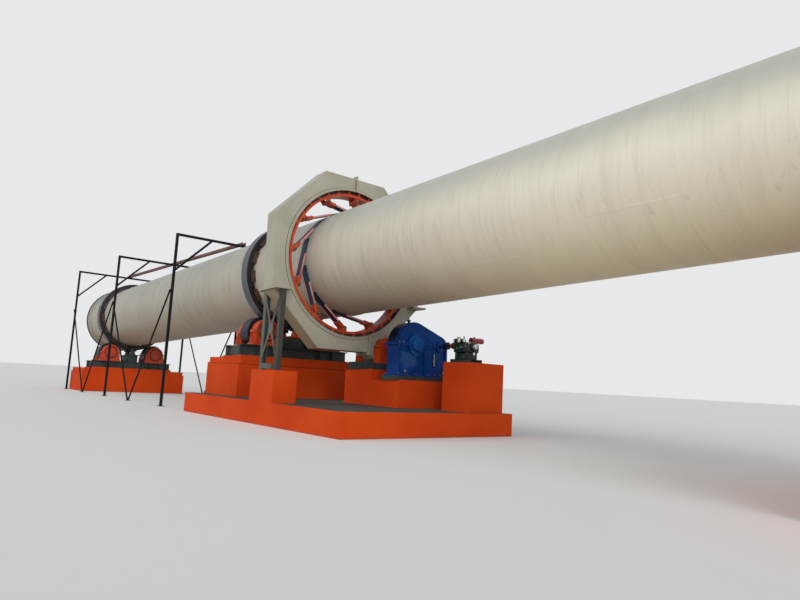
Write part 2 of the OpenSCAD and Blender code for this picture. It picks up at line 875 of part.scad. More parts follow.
// A split case on a sole plate, with bearing bosses, ribs, cap and breather
module gearbox() {
    base = pinion_z0 + box_step_drop - 70 - 2 * bolted_gap;
    l = gearbox_l;
    ly = gearbox_centres + gearbox_small_r;
    color("royalblue") on_axis() translate([0, pinion_y, pinion_z0]) difference() {
        union() {
            along_x(box_x0 + 45) linear_extrude(l - 90) {
                intersection() {
                    gearbox_top(gearbox_big_r - 14, gearbox_small_r - 14, gearbox_centres);
                    translate([-500, 0]) square([1400, 600]);
                }
                translate([14 - gearbox_big_r, -base]) square([gearbox_big_r + ly - 28, base + 1]);
            }
            along_x(box_x0 + 70) linear_extrude(l - 140) intersection() {
                gearbox_top(gearbox_big_r, gearbox_small_r, gearbox_centres);
                translate([-500, 10]) square([1400, 600]);
            }
            along_x(box_x0 + 12) linear_extrude(l - 24)
                translate([-gearbox_big_r - 20, -20]) square([gearbox_big_r + ly + 40, 40]);
            along_x(box_x0) linear_extrude(l)
                translate([-gearbox_big_r - 15, -base]) square([gearbox_big_r + ly + 30, 30]);
            along_x(box_x0 + 5) linear_extrude(l - 10) intersection() {
                circle(r = 185);
                translate([-200, -200]) square([400, 370]);
            }
            along_x(box_x0 + l - 10) cylinder(h = 40, r = 112);
            along_x(box_x0 - 20) cylinder(h = 60, r = 112);
            along_x(box_x0 + 15) linear_extrude(l - 30)
                translate([gearbox_centres, 0]) circle(r = 95);
            for (y = [0 : gearbox_ribs - 1])
                along_x(box_x0 + 12) linear_extrude(l - 24)
                    translate([
                        -gearbox_big_r + 60 + y * (gearbox_big_r + ly - 140) / (gearbox_ribs - 1),
                        -base + 20
                    ]) square([16, base - 30]);
            translate([box_x0 + l / 2, -40, gearbox_big_r - 16]) cylinder(h = 50, r = 22);
            translate([box_x0 + l / 2, -40, gearbox_big_r + 20]) cylinder(h = 22, r = 34);
            along_x(box_x0 + l - 16) translate([gearbox_centres, 0]) cylinder(h = 64, r = 26);
            along_x(box_x0 - 50) translate([gearbox_centres, 0]) cylinder(h = 80, r = 26);
        }
        along_x(box_x0 - 21) cylinder(h = 51, r = pinion_shaft_r + shaft_gap);
    }
}

module gearbox_frame() {
    color("darkslategray") on_axis()
        translate([box_x0 - 30, pinion_y - 430, -box_step_drop + bolted_gap])
        difference() {
            cube([gearbox_l + 60, 430 + gearbox_centres + gearbox_small_r + 45, 70]);
            for (s = [0, 1])
                translate([s * (gearbox_l + 60) - 12 + s * 1, -1, 14])
                    cube([s == 0 ? 32 : 12, 2000, 42]);
        }
}

// A finned motor on feet, behind the gear cover, with its shaft coupling
module motor() {
    foot = pinion_z0 + box_step_drop - bolted_gap;
    x0 = motor_x1 - motor_l;
    color("royalblue") on_axis() translate([0, box_y, pinion_z0]) {
        along_x(x0) cylinder(h = motor_l, r = motor_r);
        along_x(x0 + 50) linear_extrude(motor_l - 110)
            for (k = [0 : 11])
                rotate([0, 0, 15 + 30 * k]) translate([motor_r - 4, -4]) square([20, 8]);
        along_x(x0 - 14) cylinder(h = 40, r = motor_r + 10);
        along_x(motor_x1 - 30) cylinder(h = 34, r = motor_r + 10);
        translate([x0 + 90, -motor_r - 30, -foot]) cube([motor_l - 170, 2 * motor_r + 60, 26]);
        for (s = [-1, 1])
            translate([x0 + 90, s * (motor_r - 40) - 12, -foot + 20])
                cube([motor_l - 170, 24, foot - 100]);
        translate([x0 + motor_l / 2 - 60, -60, motor_r - 10]) cube([120, 120, 60]);
        along_x(motor_x1 - 1) cylinder(h = 141 - shaft_gap, r = 26);
        along_x(motor_x1 + 30) cylinder(h = 44, r = 62);
        along_x(motor_x1 + 78) cylinder(h = 44, r = 62);
    }
}

// A small engine on skids: crankcase, finned head, fan housing and stub shaft
module engine() {
    z0 = engine_pier_top + bolted_gap;
    zc = axis_h + sin(slope) * engine_x0 + cos(slope) * pinion_z0;
    zb = zc - engine_h * 0.45;
    x0 = engine_x0;
    color("darkgreen") {
        for (s = [-1, 1])
            translate([x0 - 60, box_y + s * engine_w * 0.42 - 25, z0]) difference() {
                cube([engine_l + 130, 50, 60]);
                translate([-1, -s * 8, 10]) cube([engine_l + 132, 50, 40]);
            }
        for (x = [x0 + 30, x0 + engine_l - 70])
            translate([x, box_y - engine_w / 2 + 10, z0 + 60 - eps])
                cube([40, engine_w - 20, zb - z0 - 60 + 10]);
        translate([x0, box_y - engine_w / 2, zb]) cube([engine_l, engine_w, engine_h * 0.55]);
        translate([x0 + 20, box_y - engine_w * 0.6, zb + engine_h * 0.55 - eps])
            cube([engine_l - 60, engine_w * 0.68, engine_h * 0.45]);
        for (k = [0 : engine_fins - 1])
            translate([x0 + 12, box_y - engine_w * 0.68, zb + engine_h * (0.6 + 0.38 * k / engine_fins)])
                cube([engine_l - 44, engine_w * 0.84, 6]);
        translate([x0 + engine_l - 1, box_y, zb + engine_h * 0.5]) rotate([0, 90, 0])
            cylinder(h = 46, r = engine_h * 0.52);
        translate([x0 - 36, box_y, zc]) rotate([0, 90, 0]) cylinder(h = 38, r = engine_h * 0.3);
        translate([x0 - 90, box_y, zc]) rotate([0, 90, 0]) cylinder(h = 60, r = 20);
    }
}

// The tank lies across the engine on two saddles
module engine_tank() {
    zc = axis_h + sin(slope) * engine_x0 + cos(slope) * pinion_z0;
    zt = zc + engine_h * 0.1 + bolted_gap;
    x = engine_x0 + engine_l * 0.62;
    y0 = box_y + engine_w / 2 - 75;
    color("firebrick") {
        translate([x, y0, zt + 22 + tank_r]) rotate([-90, 0, 0]) cylinder(h = tank_l, r = tank_r);
        translate([x, y0 + tank_l * 0.3, zt + 14 + 2 * tank_r]) cylinder(h = 26, r = 12);
        for (d = [10, 60])
            translate([x - tank_r * 0.8, y0 + d, zt])
                cube([tank_r * 1.6, 14, 22 + tank_r]);
    }
}

// Disc coupling between the engine's stub shaft and the gearbox's input shaft
module engine_coupling() {
    x0 = box_x1 + 48 + shaft_gap;
    zc = axis_h + sin(slope) * engine_x0 + cos(slope) * pinion_z0;
    xs = x0 * cos(slope) - pinion_z0 * sin(slope);
    x1 = engine_x0 - 90 - shaft_gap;
    color("firebrick") translate([xs, box_y, zc]) rotate([0, 90, 0]) {
        cylinder(h = x1 - xs, r = 24);
        translate([0, 0, 40]) cylinder(h = 30, r = 62);
        translate([0, 0, 82]) cylinder(h = 30, r = 62);
        translate([0, 0, 68]) cylinder(h = 16, r = 46);
        translate([0, 0, x1 - xs - 60]) cylinder(h = 24, r = 52);
    }
}

portal_h = axis_h + tan(slope) * portal_x + drum_r + portal_gap;
portal_front = outer_pier_w / 2 - outer_pier_shift + portal_front_gap;
portal_rear = outer_pier_w / 2 + outer_pier_shift + portal_rear_gap;
portal_pitch = (span + portal_past + portal_x) / 2;

// A portal over the drum: two posts, a beam and a knee brace in each corner
module portal_frame(k) {
    t = portal_s / 2;
    color("black") translate([portal_x - k * portal_pitch - t, 0, 0]) rotate([90, 0, 90])
        linear_extrude(portal_s) {
            translate([-portal_front - t, 0]) square([portal_s, portal_h]);
            translate([portal_rear - t, 0]) square([portal_s, portal_h]);
            translate([-portal_front - t, portal_h - portal_s])
                square([portal_front + portal_rear + portal_s, portal_s]);
            for (p = [[-portal_front, 1], [portal_rear, -1]])
                translate([p[0], portal_h - portal_s / 2]) polygon([
                    [0, -knee - knee_s], [0, -knee + knee_s * 0.4],
                    [p[1] * (knee - knee_s * 0.4), 0], [p[1] * (knee + knee_s), 0]
                ]);
        }
    color("black") for (y = [-portal_front, portal_rear])
        translate([portal_x - k * portal_pitch - 55, y - 55, 0]) cube([110, 110, 10]);
}

module portal_frame_upper() {
    portal_frame(0);
}

module portal_frame_middle() {
    portal_frame(1);
}

module portal_frame_lower() {
    portal_frame(2);
}

// A channel along the tops of the portal frames, over the kiln line
module portal_ridge() {
    l = 2 * portal_pitch + 160;
    color("sienna") translate([portal_x - l + 80, -40, portal_h + bolted_gap]) difference() {
        cube([l, 80, 60]);
        translate([-1, 6, 6]) cube([l + 2, 68, 60]);
    }
}

// Sloping bars from a foot between two portal frames up to their posts
module portal_braces(y, s) {
    t = brace_s / 2;
    d = portal_pitch / 2;
    yo = y + s * (portal_s / 2 + t + bolted_gap);
    color("black") for (k = [0, 1]) {
        x = portal_x - (k + 0.5) * portal_pitch;
        for (m = [-1, 1])
            translate([x, yo + t, 0]) rotate([90, 0, 0]) linear_extrude(brace_s) polygon([
                [m * t * 0.2, 0], [m * t * 2.4, 0], [m * (d + t), brace_h], [m * (d - t), brace_h]
            ]);
        translate([x - 70, yo - 50, 0]) cube([140, 100, 8]);
    }
}

module portal_braces_front() {
    portal_braces(-portal_front, -1);
}

module portal_braces_rear() {
    portal_braces(portal_rear, 1);
}

kiln_shell();
tyre_lower();
tyre_middle();
tyre_upper();
tyre_pads_lower();
tyre_pads_middle();
tyre_pads_upper();
girth_gear();
spring_plates();
roller_lower_front();
roller_lower_rear();
roller_middle_front();
roller_middle_rear();
roller_upper_front();
roller_upper_rear();
roller_housings_lower();
roller_housings_middle();
roller_housings_upper();
base_frame_lower();
base_frame_middle();
base_frame_upper();
pier_lower();
pier_upper();
main_foundation();
cover_upper_front();
cover_upper_rear();
cover_lower();
cover_pinion();
cover_leg_front();
pinion();
pinion_housings();
pinion_frame();
gearbox();
gearbox_frame();
pinion_coupling();
motor();
engine();
engine_tank();
engine_coupling();
portal_frame_lower();
portal_frame_middle();
portal_frame_upper();
portal_ridge();
portal_braces_front();
portal_braces_rear();
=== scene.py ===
"""Looks of the rotary kiln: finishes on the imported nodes, small parts, light and camera."""
import json
import math
import random

import bmesh
import bpy
from bpy.props import FloatProperty, FloatVectorProperty, IntProperty, PointerProperty
from bpy.types import Operator, Panel, PropertyGroup
from mathutils import Matrix, Vector


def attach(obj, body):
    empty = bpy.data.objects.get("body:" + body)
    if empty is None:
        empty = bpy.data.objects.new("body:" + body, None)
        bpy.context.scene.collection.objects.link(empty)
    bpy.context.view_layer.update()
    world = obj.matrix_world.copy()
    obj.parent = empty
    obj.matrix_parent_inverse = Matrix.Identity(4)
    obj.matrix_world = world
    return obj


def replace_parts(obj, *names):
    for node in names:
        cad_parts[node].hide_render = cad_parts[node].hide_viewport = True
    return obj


bl_info = {
    "name": "Rotary kiln looks",
    "version": (1, 0, 0),
    "blender": (4, 5, 0),
    "location": "View3D > Sidebar > Kiln",
    "description": "Dresses the packed rotary kiln with finishes and small parts",
    "category": "Object",
}

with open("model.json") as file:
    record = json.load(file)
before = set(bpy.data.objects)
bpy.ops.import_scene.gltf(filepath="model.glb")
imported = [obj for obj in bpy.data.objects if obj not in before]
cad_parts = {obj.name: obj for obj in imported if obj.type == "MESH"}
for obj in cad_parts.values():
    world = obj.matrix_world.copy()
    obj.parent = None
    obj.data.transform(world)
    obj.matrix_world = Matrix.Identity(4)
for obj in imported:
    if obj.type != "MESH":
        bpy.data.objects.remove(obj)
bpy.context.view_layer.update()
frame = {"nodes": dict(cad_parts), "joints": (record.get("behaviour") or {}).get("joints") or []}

# The kiln line: every joint turns about it or beside it
DRUM_JOINT = next(j for j in frame["joints"] if j["name"] == "drum_spin")
AXIS = Vector(DRUM_JOINT["axis"]).normalized()
AXIS_HEIGHT = DRUM_JOINT["pos_m"][2]
SLOPE = math.atan2(AXIS.z, AXIS.x)
KILN = Matrix.Translation(DRUM_JOINT["pos_m"]) @ Matrix.Rotation(-SLOPE, 4, "Y")

# Stations, drum and tyres: places along the kiln line, radii and half widths, in metres
STATIONS = {"lower": -9.75, "middle": 0.0, "upper": 10.3}
DRUM_ENDS = (-11.28, 11.8)
DRUM_RADIUS = 0.89
TYRE_RADIUS = 1.029
TYRE_HALF = 0.125

# Girth gear, and the spring plates that run off the drum to its pins
GEAR_X = 1.905
GEAR_HALF = 0.1
GEAR_INSIDE = 1.184
SPRING_COUNT = 12
SPRING_START = 26.5
SPRING_PIN_CIRCLE = 1.125
SPRING_LINE = DRUM_RADIUS + 0.0063
SPRING_RUN = math.sqrt(SPRING_PIN_CIRCLE ** 2 - SPRING_LINE ** 2)
SPRING_END_WIDTH = 0.1512

# Gear cover: half its width, its flats, its flanges and their joints, its openings
COVER_HALF = 0.15
COVER_FLAT = 1.513
COVER_FLANGE = 0.045
COVER_JOINT_HALF = 0.0125
COVER_SPLIT = -0.64
COVER_FLANGE_X = (1.661, 2.249)
COVER_OPENING = 1.274
PINION_JOINT_Y = 0.4

# Bearings by the (y, z) of their centres and their places beside a roller or the pinion. A
# housing has a radius, half a width, a cap, and a foot at a level and reach from the centre
ROLLER = (0.66015, -1.14341)
BEARING_STEP = 0.28
ROLLER_HOUSING = dict(radius=0.228, half=0.1, cap=0.016, foot=(-0.2565, 0.272))
PINION = (0.66785, -1.40651)
PINION_STEP = 0.265
PINION_HOUSING = dict(radius=0.15, half=0.075, cap=0.014, foot=(-0.4784, 0.19))

# Gearbox from end to end, its fast shaft, the frames' feet and the tray beside the pinion
GEARBOX = (2.66, 3.05)
INPUT_STEP = 0.54
FRAME_DROP = 1.6
PINION_TRAY = (1.945, 0.340, -1.8119)

# Stands and guide rollers between the support rollers: levels, radius, gap to the tyre
STAND_LEVEL = -1.302
STAND_CAP = -1.190
GUIDE_FOOT = -1.177
GUIDE_RADIUS = 0.110
GUIDE_GAP = 0.008

# Piers, portal frames and the auxiliary engine stand level, so these are in the world's metres
PIER_COURSE = 0.93
SLAB_LEVEL = 0.36
PORTAL_X = (-10.53, -6.44, -2.35)
PORTAL_Y = (-1.5, 1.93)
PORTAL_PLATE = (0.041, 0.010)
ENGINE_BLOCK = (3.52, 1.208, 1.2892)
ENGINE_FAN = (3.897, 1.208, 1.384)
ENGINE_SKID = (1.118, 1.178)

SIDES = (-1, 1)
QUARTER = math.pi / 2
LEVEL = Matrix.Identity(4)
UP = (0, 0, 1)

# How thick a washer is, and how far a small part reaches into what it sits on
WASHER = 0.0025
BITE = 0.0005

# Edges that turn by more than this stay sharp, and a ring round the kiln has this many steps
SHARP = math.radians(40)
HOOP_STEPS = 128


def facing(point, direction, base=KILN):
    """A place at a point of the kiln's frame whose Z axis looks along direction."""
    turn = Vector(direction).normalized().to_track_quat("Z", "Y").to_matrix().to_4x4()
    return base @ Matrix.Translation(point) @ turn


def on_kiln(x, y, z):
    """A place at a point of the kiln's frame, unturned in it."""
    return KILN @ Matrix.Translation((x, y, z))


def raised(place, height):
    """The same place, moved along its own Z axis."""
    return place @ Matrix.Translation((0, 0, height))


# ---------------------------------------------------------------- finishes

class FinishTree:
    """One node material, put together from named steps."""

    def __init__(self, name):
        self.material = bpy.data.materials.new(name)
        self.material.use_nodes = True
        self.tree = self.material.node_tree
        self.tree.nodes.clear()
        self.shader = self.add("ShaderNodeBsdfPrincipled")
        output = self.add("ShaderNodeOutputMaterial")
        self.link(self.shader.outputs["BSDF"], output.inputs["Surface"])
        self.place = self.add("ShaderNodeTexCoord").outputs["Object"]

    def add(self, kind, **settings):
        node = self.tree.nodes.new(kind)
        for key, value in settings.items():
            setattr(node, key, value)
        return node

    def link(self, source, target):
        self.tree.links.new(source, target)

    def put(self, value, socket):
        """Sets a socket to a plain value, or links it to another socket."""
        if isinstance(value, bpy.types.NodeSocket):
            self.link(value, socket)
        elif isinstance(value, tuple) and len(value) == 3 and len(socket.default_value) == 4:
            socket.default_value = (*value, 1.0)
        else:
            socket.default_value = value

    def math(self, operation, first, second=0.0, clamp=False):
        node = self.add("ShaderNodeMath", operation=operation, use_clamp=clamp)
        self.put(first, node.inputs[0])
        self.put(second, node.inputs[1])
        return node.outputs[0]

    def plus(self, first, second):
        return self.math("ADD", first, second)

    def minus(self, first, second):
        return self.math("SUBTRACT", first, second)

    def times(self, first, second):
        return self.math("MULTIPLY", first, second)

    def mix_value(self, share, low, high):
        """From low to high as share goes from nought to one."""
        return self.plus(self.times(share, high - low), low)

    def close_to(self, value, middle, reach):
        """One where value lies within reach of middle, nought elsewhere."""
        return self.math("LESS_THAN", self.math("ABSOLUTE", self.minus(value, middle)), reach)

    def spread(self, value, low, high, to_low=0.0, to_high=1.0):
        """Value's range from low to high, carried softly to another range."""
        node = self.add("ShaderNodeMapRange", interpolation_type="SMOOTHSTEP")
        for socket, number in zip(node.inputs, (value, low, high, to_low, to_high)):
            self.put(number, socket)
        return node.outputs[0]

    def mix(self, factor, first, second):
        """From the first colour to the second as factor goes from nought to one."""
        node = self.add("ShaderNodeMix", data_type="RGBA", clamp_factor=True)
        self.put(factor, node.inputs["Factor"])
        self.put(first, node.inputs[6])
        self.put(second, node.inputs[7])
        return node.outputs[2]

    def mottle(self, clouds, first, second):
        """Two colours that change over in soft clouds."""
        return self.mix(self.spread(clouds, 0.35, 0.7), first, second)

    def along_kiln(self):
        """Object coordinates turned so that X runs along the drum's axis."""
        node = self.add("ShaderNodeMapping", vector_type="TEXTURE")
        node.inputs["Location"].default_value = (0, 0, AXIS_HEIGHT)
        node.inputs["Rotation"].default_value = (0, -SLOPE, 0)
        self.link(self.place, node.inputs["Vector"])
        return node.outputs[0]

    def stretch(self, vector, scale):
        """Coordinates multiplied by a scale along each axis."""
        node = self.add("ShaderNodeMapping")
        node.inputs["Scale"].default_value = scale
        self.link(vector, node.inputs["Vector"])
        return node.outputs[0]

    def noise(self, vector, scale, detail=4.0, rough=0.55):
        node = self.add("ShaderNodeTexNoise")
        self.put(vector, node.inputs["Vector"])
        node.inputs["Scale"].default_value = scale
        node.inputs["Detail"].default_value = detail
        node.inputs["Roughness"].default_value = rough
        return node.outputs["Fac"]

    def parts(self, vector):
        """X, Y and Z of a vector."""
        node = self.add("ShaderNodeSeparateXYZ")
        self.link(vector, node.inputs[0])
        return node.outputs

    def facing_up(self):
        """One on level tops, nought on upright walls, minus one on undersides."""
        node = self.add("ShaderNodeNewGeometry")
        return self.parts(node.outputs["Normal"])[2]

    def relief(self, height, distance):
        """Bumps as high as distance, in metres."""
        node = self.add("ShaderNodeBump")
        self.put(height, node.inputs["Height"])
        node.inputs["Distance"].default_value = distance
        node.inputs["Strength"].default_value = 1.0
        self.link(node.outputs[0], self.shader.inputs["Normal"])

    def radius(self, line):
        """Distance of a place from the drum's axis."""
        _, y, z = self.parts(line)
        return self.math("SQRT", self.plus(self.times(y, y), self.times(z, z)))

    def close(self, colour, roughness, metallic=0.0, coat=0.0, shine=0.5):
        self.put(colour, self.shader.inputs["Base Color"])
        self.put(roughness, self.shader.inputs["Roughness"])
        self.put(metallic, self.shader.inputs["Metallic"])
        self.shader.inputs["Specular IOR Level"].default_value = shine
        self.shader.inputs["Coat Weight"].default_value = coat
        self.shader.inputs["Coat Roughness"].default_value = 0.25
        return self.material


def worn_paint(name, paint, worn, grime, gloss=0.45, coat=0.0, patch=2.2, grime_reach=0.45,
               dust=0.35, chips=0.0, shine=0.35, below=None, areas=()):
    """Brushed or sprayed paint with uneven patches, grime in runs, dust on top and chips.

    The underside may take a colour of its own. Each of areas is a box with ragged sides, its
    low and high corner in metres, that takes a colour to a share of its strength."""
    t = FinishTree(name)
    patches = t.noise(t.place, patch, 5.0)
    runs = t.noise(t.stretch(t.place, (9.0, 9.0, 1.3)), 1.0, 6.0, 0.6)
    colour = t.mix(t.spread(patches, 0.38, 0.68), paint, worn)
    dirty = t.spread(runs, 0.62 - 0.2 * grime_reach, 0.86)
    colour = t.mix(t.times(dirty, grime_reach), colour, grime)
    up = t.spread(t.facing_up(), 0.55, 0.98)
    dusty = t.times(up, t.spread(t.noise(t.place, 7.0), 0.3, 0.75, 0.35, 1.0))
    colour = t.mix(t.times(dusty, dust), colour, (0.24, 0.215, 0.18))
    if below:
        under = t.spread(t.facing_up(), -0.25, -0.6, 0.0, 0.7)
        colour = t.mix(under, colour, below)
    ragged = t.noise(t.place, 9.0, 5.0, 0.7) if areas else None
    soft = 0.02
    for low, high, tint, share in areas:
        inside = share
        for value, a, b in zip(t.parts(t.place), low, high):
            value = t.plus(value, t.times(t.minus(ragged, 0.5), 0.25))
            inside = t.times(inside, t.spread(value, a - soft, a + soft))
            inside = t.times(inside, t.spread(value, b + soft, b - soft))
        colour = t.mix(inside, colour, tint)
    if chips:
        spots = t.noise(t.place, 38.0, 3.0)
        bare = t.times(t.spread(spots, 0.70 - 0.05 * chips, 0.74), t.spread(patches, 0.4, 0.6))
        colour = t.mix(bare, colour, (0.07, 0.035, 0.022))
    fine = t.noise(t.place, 140.0, 2.0)
    rough = t.spread(t.plus(patches, t.times(fine, 0.25)), 0.3, 0.95,
                     gloss - 0.1, gloss + 0.18)
    t.relief(t.plus(t.times(fine, 0.6), patches), 0.0006)
    return t.close(colour, rough, 0.0, coat, shine)


def bare_steel(name, clean, tarnish, rust, gloss=0.38, metallic=0.85, rusty=0.35, shine=0.5):
    """Rolled or turned steel with tarnish clouds and rust in the pits."""
    t = FinishTree(name)
    clouds = t.noise(t.place, 3.5, 6.0)
    colour = t.mottle(clouds, clean, tarnish)
    pits = t.spread(t.noise(t.place, 16.0, 6.0, 0.65), 0.52, 0.7)
    pits = t.times(pits, rusty)
    colour = t.mix(pits, colour, rust)
    scratches = t.noise(t.stretch(t.place, (6.0, 90.0, 90.0)), 1.0, 2.0)
    rough = t.spread(scratches, 0.3, 0.75, gloss - 0.08, gloss + 0.2)
    t.relief(t.plus(scratches, pits), 0.0004)
    return t.close(colour, rough, t.math("SUBTRACT", metallic, pits, True), shine=shine)


def drum_paint(paint, clean):
    """Cream heat paint streaked round the drum. Towards the upper end it is cleaner paint with
    painted light, and towards the lower end older paint with painted shade. The top is painted
    darker as painted shade. Below is brown dirt, painted warmer and lighter near the upper end as
    painted bounce light.
    """
    t = FinishTree("drum_paint")
    line = t.along_kiln()
    x, _, z = t.parts(line)
    broad = t.noise(t.stretch(line, (1.5, 0.22, 0.22)), 1.0, 5.0, 0.6)
    ring = t.noise(t.stretch(line, (7.0, 0.45, 0.45)), 1.0, 6.0, 0.6)
    fine = t.noise(t.stretch(line, (44.0, 1.6, 1.6)), 1.0, 5.0, 0.6)
    cloud = t.noise(line, 1.1, 5.0, 0.5)
    # Lighter, cleaner paint and fewer streaks towards the upper end: partly fresher paint, partly
    # painted light
    near = t.spread(t.plus(x, t.times(broad, 2.0)), 3.5, 9.0)
    colour = t.mottle(cloud, paint, (0.55, 0.505, 0.42))
    colour = t.mix(t.times(near, 0.8), colour, clean)
    colour = t.mix(t.spread(broad, 0.5, 0.8, 0.0, 0.4), colour, (0.53, 0.45, 0.36))
    streaky = t.mix_value(near, 1.0, 0.5)
    broad_streak = t.times(streaky, t.spread(ring, 0.52, 0.8, 0.0, 0.4))
    colour = t.mix(broad_streak, colour, (0.46, 0.38, 0.31))
    fine_streak = t.times(streaky, t.spread(fine, 0.53, 0.76, 0.0, 0.34))
    colour = t.mix(fine_streak, colour, (0.40, 0.33, 0.27))
    scratch = t.noise(t.stretch(line, (16.0, 3.0, 9.0)), 1.0, 5.0, 0.7)
    scratch = t.times(t.spread(scratch, 0.55, 0.7, 0.0, 0.35), t.spread(z, 0.1, -0.5))
    colour = t.mix(scratch, colour, (0.42, 0.33, 0.22))
    stain = t.noise(t.stretch(line, (9.0, 1.1, 1.1)), 1.0, 4.0, 0.7)
    stain = t.times(t.spread(stain, 0.50, 0.66), t.spread(x, 6.0, -3.0, 0.12, 0.7))
    colour = t.mix(stain, colour, (0.30, 0.25, 0.20))
    colour = t.mix(t.spread(fine, 0.44, 0.25, 0.0, 0.3), colour, (0.80, 0.79, 0.70))
    # Greyer and darker towards the lower end: partly older paint, partly painted shade
    aged_and_shaded = t.spread(t.plus(x, t.times(broad, 3.0)), 7.5, -2.0, 0.0, 0.66)
    colour = t.mix(aged_and_shaded, colour, (0.32, 0.295, 0.245))
    # Brown below: dirt, darker towards the lower end as painted shade, and warm yellow towards the
    # upper end as painted bounce light from the floor
    below = t.spread(t.plus(z, t.times(ring, 0.5)), 0.22, -0.75, 0.0, 0.66)
    underside_dirt_shade_and_bounce = t.mix(near, t.mix(aged_and_shaded, (0.47, 0.35, 0.24), (0.225, 0.170, 0.120)), (0.82, 0.75, 0.45))
    colour = t.mix(below, colour, underside_dirt_shade_and_bounce)
    # The top of the drum is painted greyer and darker: painted shade where less light falls on it
    above = t.spread(t.minus(z, t.times(cloud, 0.3)), -0.1, 0.45, 0.0, 0.8)
    colour = t.mix(above, colour, t.mix(aged_and_shaded, (0.40, 0.42, 0.36), (0.29, 0.315, 0.28)))
    radius = t.radius(line)
    grey = t.spread(t.noise(line, 6.0, 6.0, 0.7), 0.4, 0.7)
    scale = t.mix(grey, (0.09, 0.05, 0.035), (0.17, 0.085, 0.05))
    inner = t.math("LESS_THAN", radius, DRUM_RADIUS - 0.004)
    rings = t.math("GREATER_THAN", radius, DRUM_RADIUS + 0.068)
    colour = t.mix(inner, colour, scale)
    colour = t.mix(rings, colour, (0.035, 0.032, 0.03))
    rough = t.spread(ring, 0.3, 0.75, 0.42, 0.62)
    t.relief(t.plus(fine, t.times(cloud, 2.0)), 0.0012)
    return t.close(colour, rough, shine=0.4)


def tyre_steel():
    """Dark forged ring: polished running face, brown flat sides with turning marks."""
    t = FinishTree("tyre_steel")
    line = t.along_kiln()
    radius = t.radius(line)
    turned = t.math("SINE", t.times(radius, 420.0))
    running = t.spread(radius, TYRE_RADIUS - 0.0005, TYRE_RADIUS + 0.0005)
    clouds = t.noise(line, 4.0, 6.0, 0.6)
    side = t.mottle(clouds, (0.012, 0.008, 0.008), (0.028, 0.017, 0.015))
    lathe = t.math("SINE", t.times(radius, 78.0))
    side = t.mix(t.spread(lathe, -0.2, 0.9, 0.0, 0.4), side, (0.048, 0.050, 0.058))
    face = t.mottle(t.noise(t.stretch(line, (40.0, 2.0, 2.0)), 1.0, 5.0),
                    (0.075, 0.08, 0.095), (0.14, 0.145, 0.165))
    colour = t.mix(running, side, face)
    rough = t.spread(clouds, 0.3, 0.7, 0.36, 0.54)
    t.relief(t.plus(t.times(turned, 0.3), clouds), 0.0006)
    return t.close(colour, rough, 0.35, shine=0.3)


def gear_primer(paint):
    """Orange primer with black grease smears. The face outside the inner rim, between the ribs and
    out to the teeth, is painted near black as painted shade, with grease on the teeth.
    """
    t = FinishTree("gear_primer")
    line = t.along_kiln()
    radius = t.radius(line)
    clouds = t.noise(line, 3.0, 5.0)
    smears = t.noise(line, 11.0, 5.0, 0.65)
    colour = t.mottle(clouds, paint, (0.44, 0.036, 0.008))
    colour = t.mix(t.spread(smears, 0.56, 0.72, 0.0, 0.75), colour, (0.07, 0.026, 0.016))
    # Near black outside the inner rim: painted shade in the recess between the ribs, with grease on
    # the teeth
    rib_recess_shade = t.times(t.spread(radius, 1.216, 1.223), t.spread(smears, 0.3, 0.6, 0.82, 1.0))
    colour = t.mix(rib_recess_shade, colour, (0.020, 0.014, 0.012))
    t.relief(t.plus(smears, clouds), 0.0012)
    return t.close(colour, t.spread(smears, 0.3, 0.7, 0.55, 0.32), shine=0.35)


def block_paint(paint):
    """Orange paint on trowelled concrete, bare grey where the slab's top is left unpainted."""
    t = FinishTree("block_paint")
    clouds = t.noise(t.place, 0.9, 6.0, 0.55)
    colour = t.mottle(clouds, paint, (0.55, 0.046, 0.004))
    runs = t.noise(t.stretch(t.place, (5.0, 5.0, 0.7)), 1.0, 7.0, 0.6)
    colour = t.mix(t.spread(runs, 0.58, 0.85, 0.0, 0.3), colour, (0.32, 0.028, 0.008))
    x, _, z = t.parts(t.place)
    foot = t.spread(t.plus(z, t.times(runs, 0.1)), 0.10, 0.035, 0.0, 0.5)
    colour = t.mix(foot, colour, (0.16, 0.09, 0.06))
    # A painted shadow line under the pier's top course, near the middle pier
    course = t.times(t.close_to(z, PIER_COURSE, 0.005), t.close_to(x, 0.0, 0.8))
    colour = t.mix(t.times(course, 0.75), colour, (0.10, 0.012, 0.006))
    scuffs = t.spread(t.noise(t.place, 24.0, 4.0, 0.7), 0.66, 0.74, 0.0, 0.4)
    colour = t.mix(scuffs, colour, (0.66, 0.14, 0.05))
    up = t.spread(t.facing_up(), 0.7, 0.95)
    low = t.math("LESS_THAN", z, SLAB_LEVEL)
    screed = t.mottle(t.noise(t.place, 2.5, 7.0, 0.6),
                      (0.055, 0.062, 0.056), (0.105, 0.110, 0.098))
    colour = t.mix(t.times(up, 0.3), colour, (0.22, 0.08, 0.045))
    colour = t.mix(t.times(up, low), colour, screed)
    grain = t.noise(t.place, 60.0, 3.0)
    t.relief(t.plus(t.times(clouds, 3.0), grain), 0.0018)
    return t.close(colour, t.spread(grain, 0.3, 0.7, 0.6, 0.8), shine=0.12)


def spring_paint(paint):
    """Dark blue paint on rolled plates, thin and scuffed where the plates bend."""
    t = FinishTree("spring_paint")
    clouds = t.noise(t.place, 5.0, 6.0)
    colour = t.mottle(clouds, (0.004, 0.016, 0.045), paint)
    worn = t.spread(t.noise(t.place, 19.0, 5.0, 0.7), 0.62, 0.74, 0.0, 0.5)
    colour = t.mix(worn, colour, (0.03, 0.02, 0.02))
    t.relief(clouds, 0.0008)
    return t.close(colour, t.spread(clouds, 0.3, 0.7, 0.42, 0.6), shine=0.25)


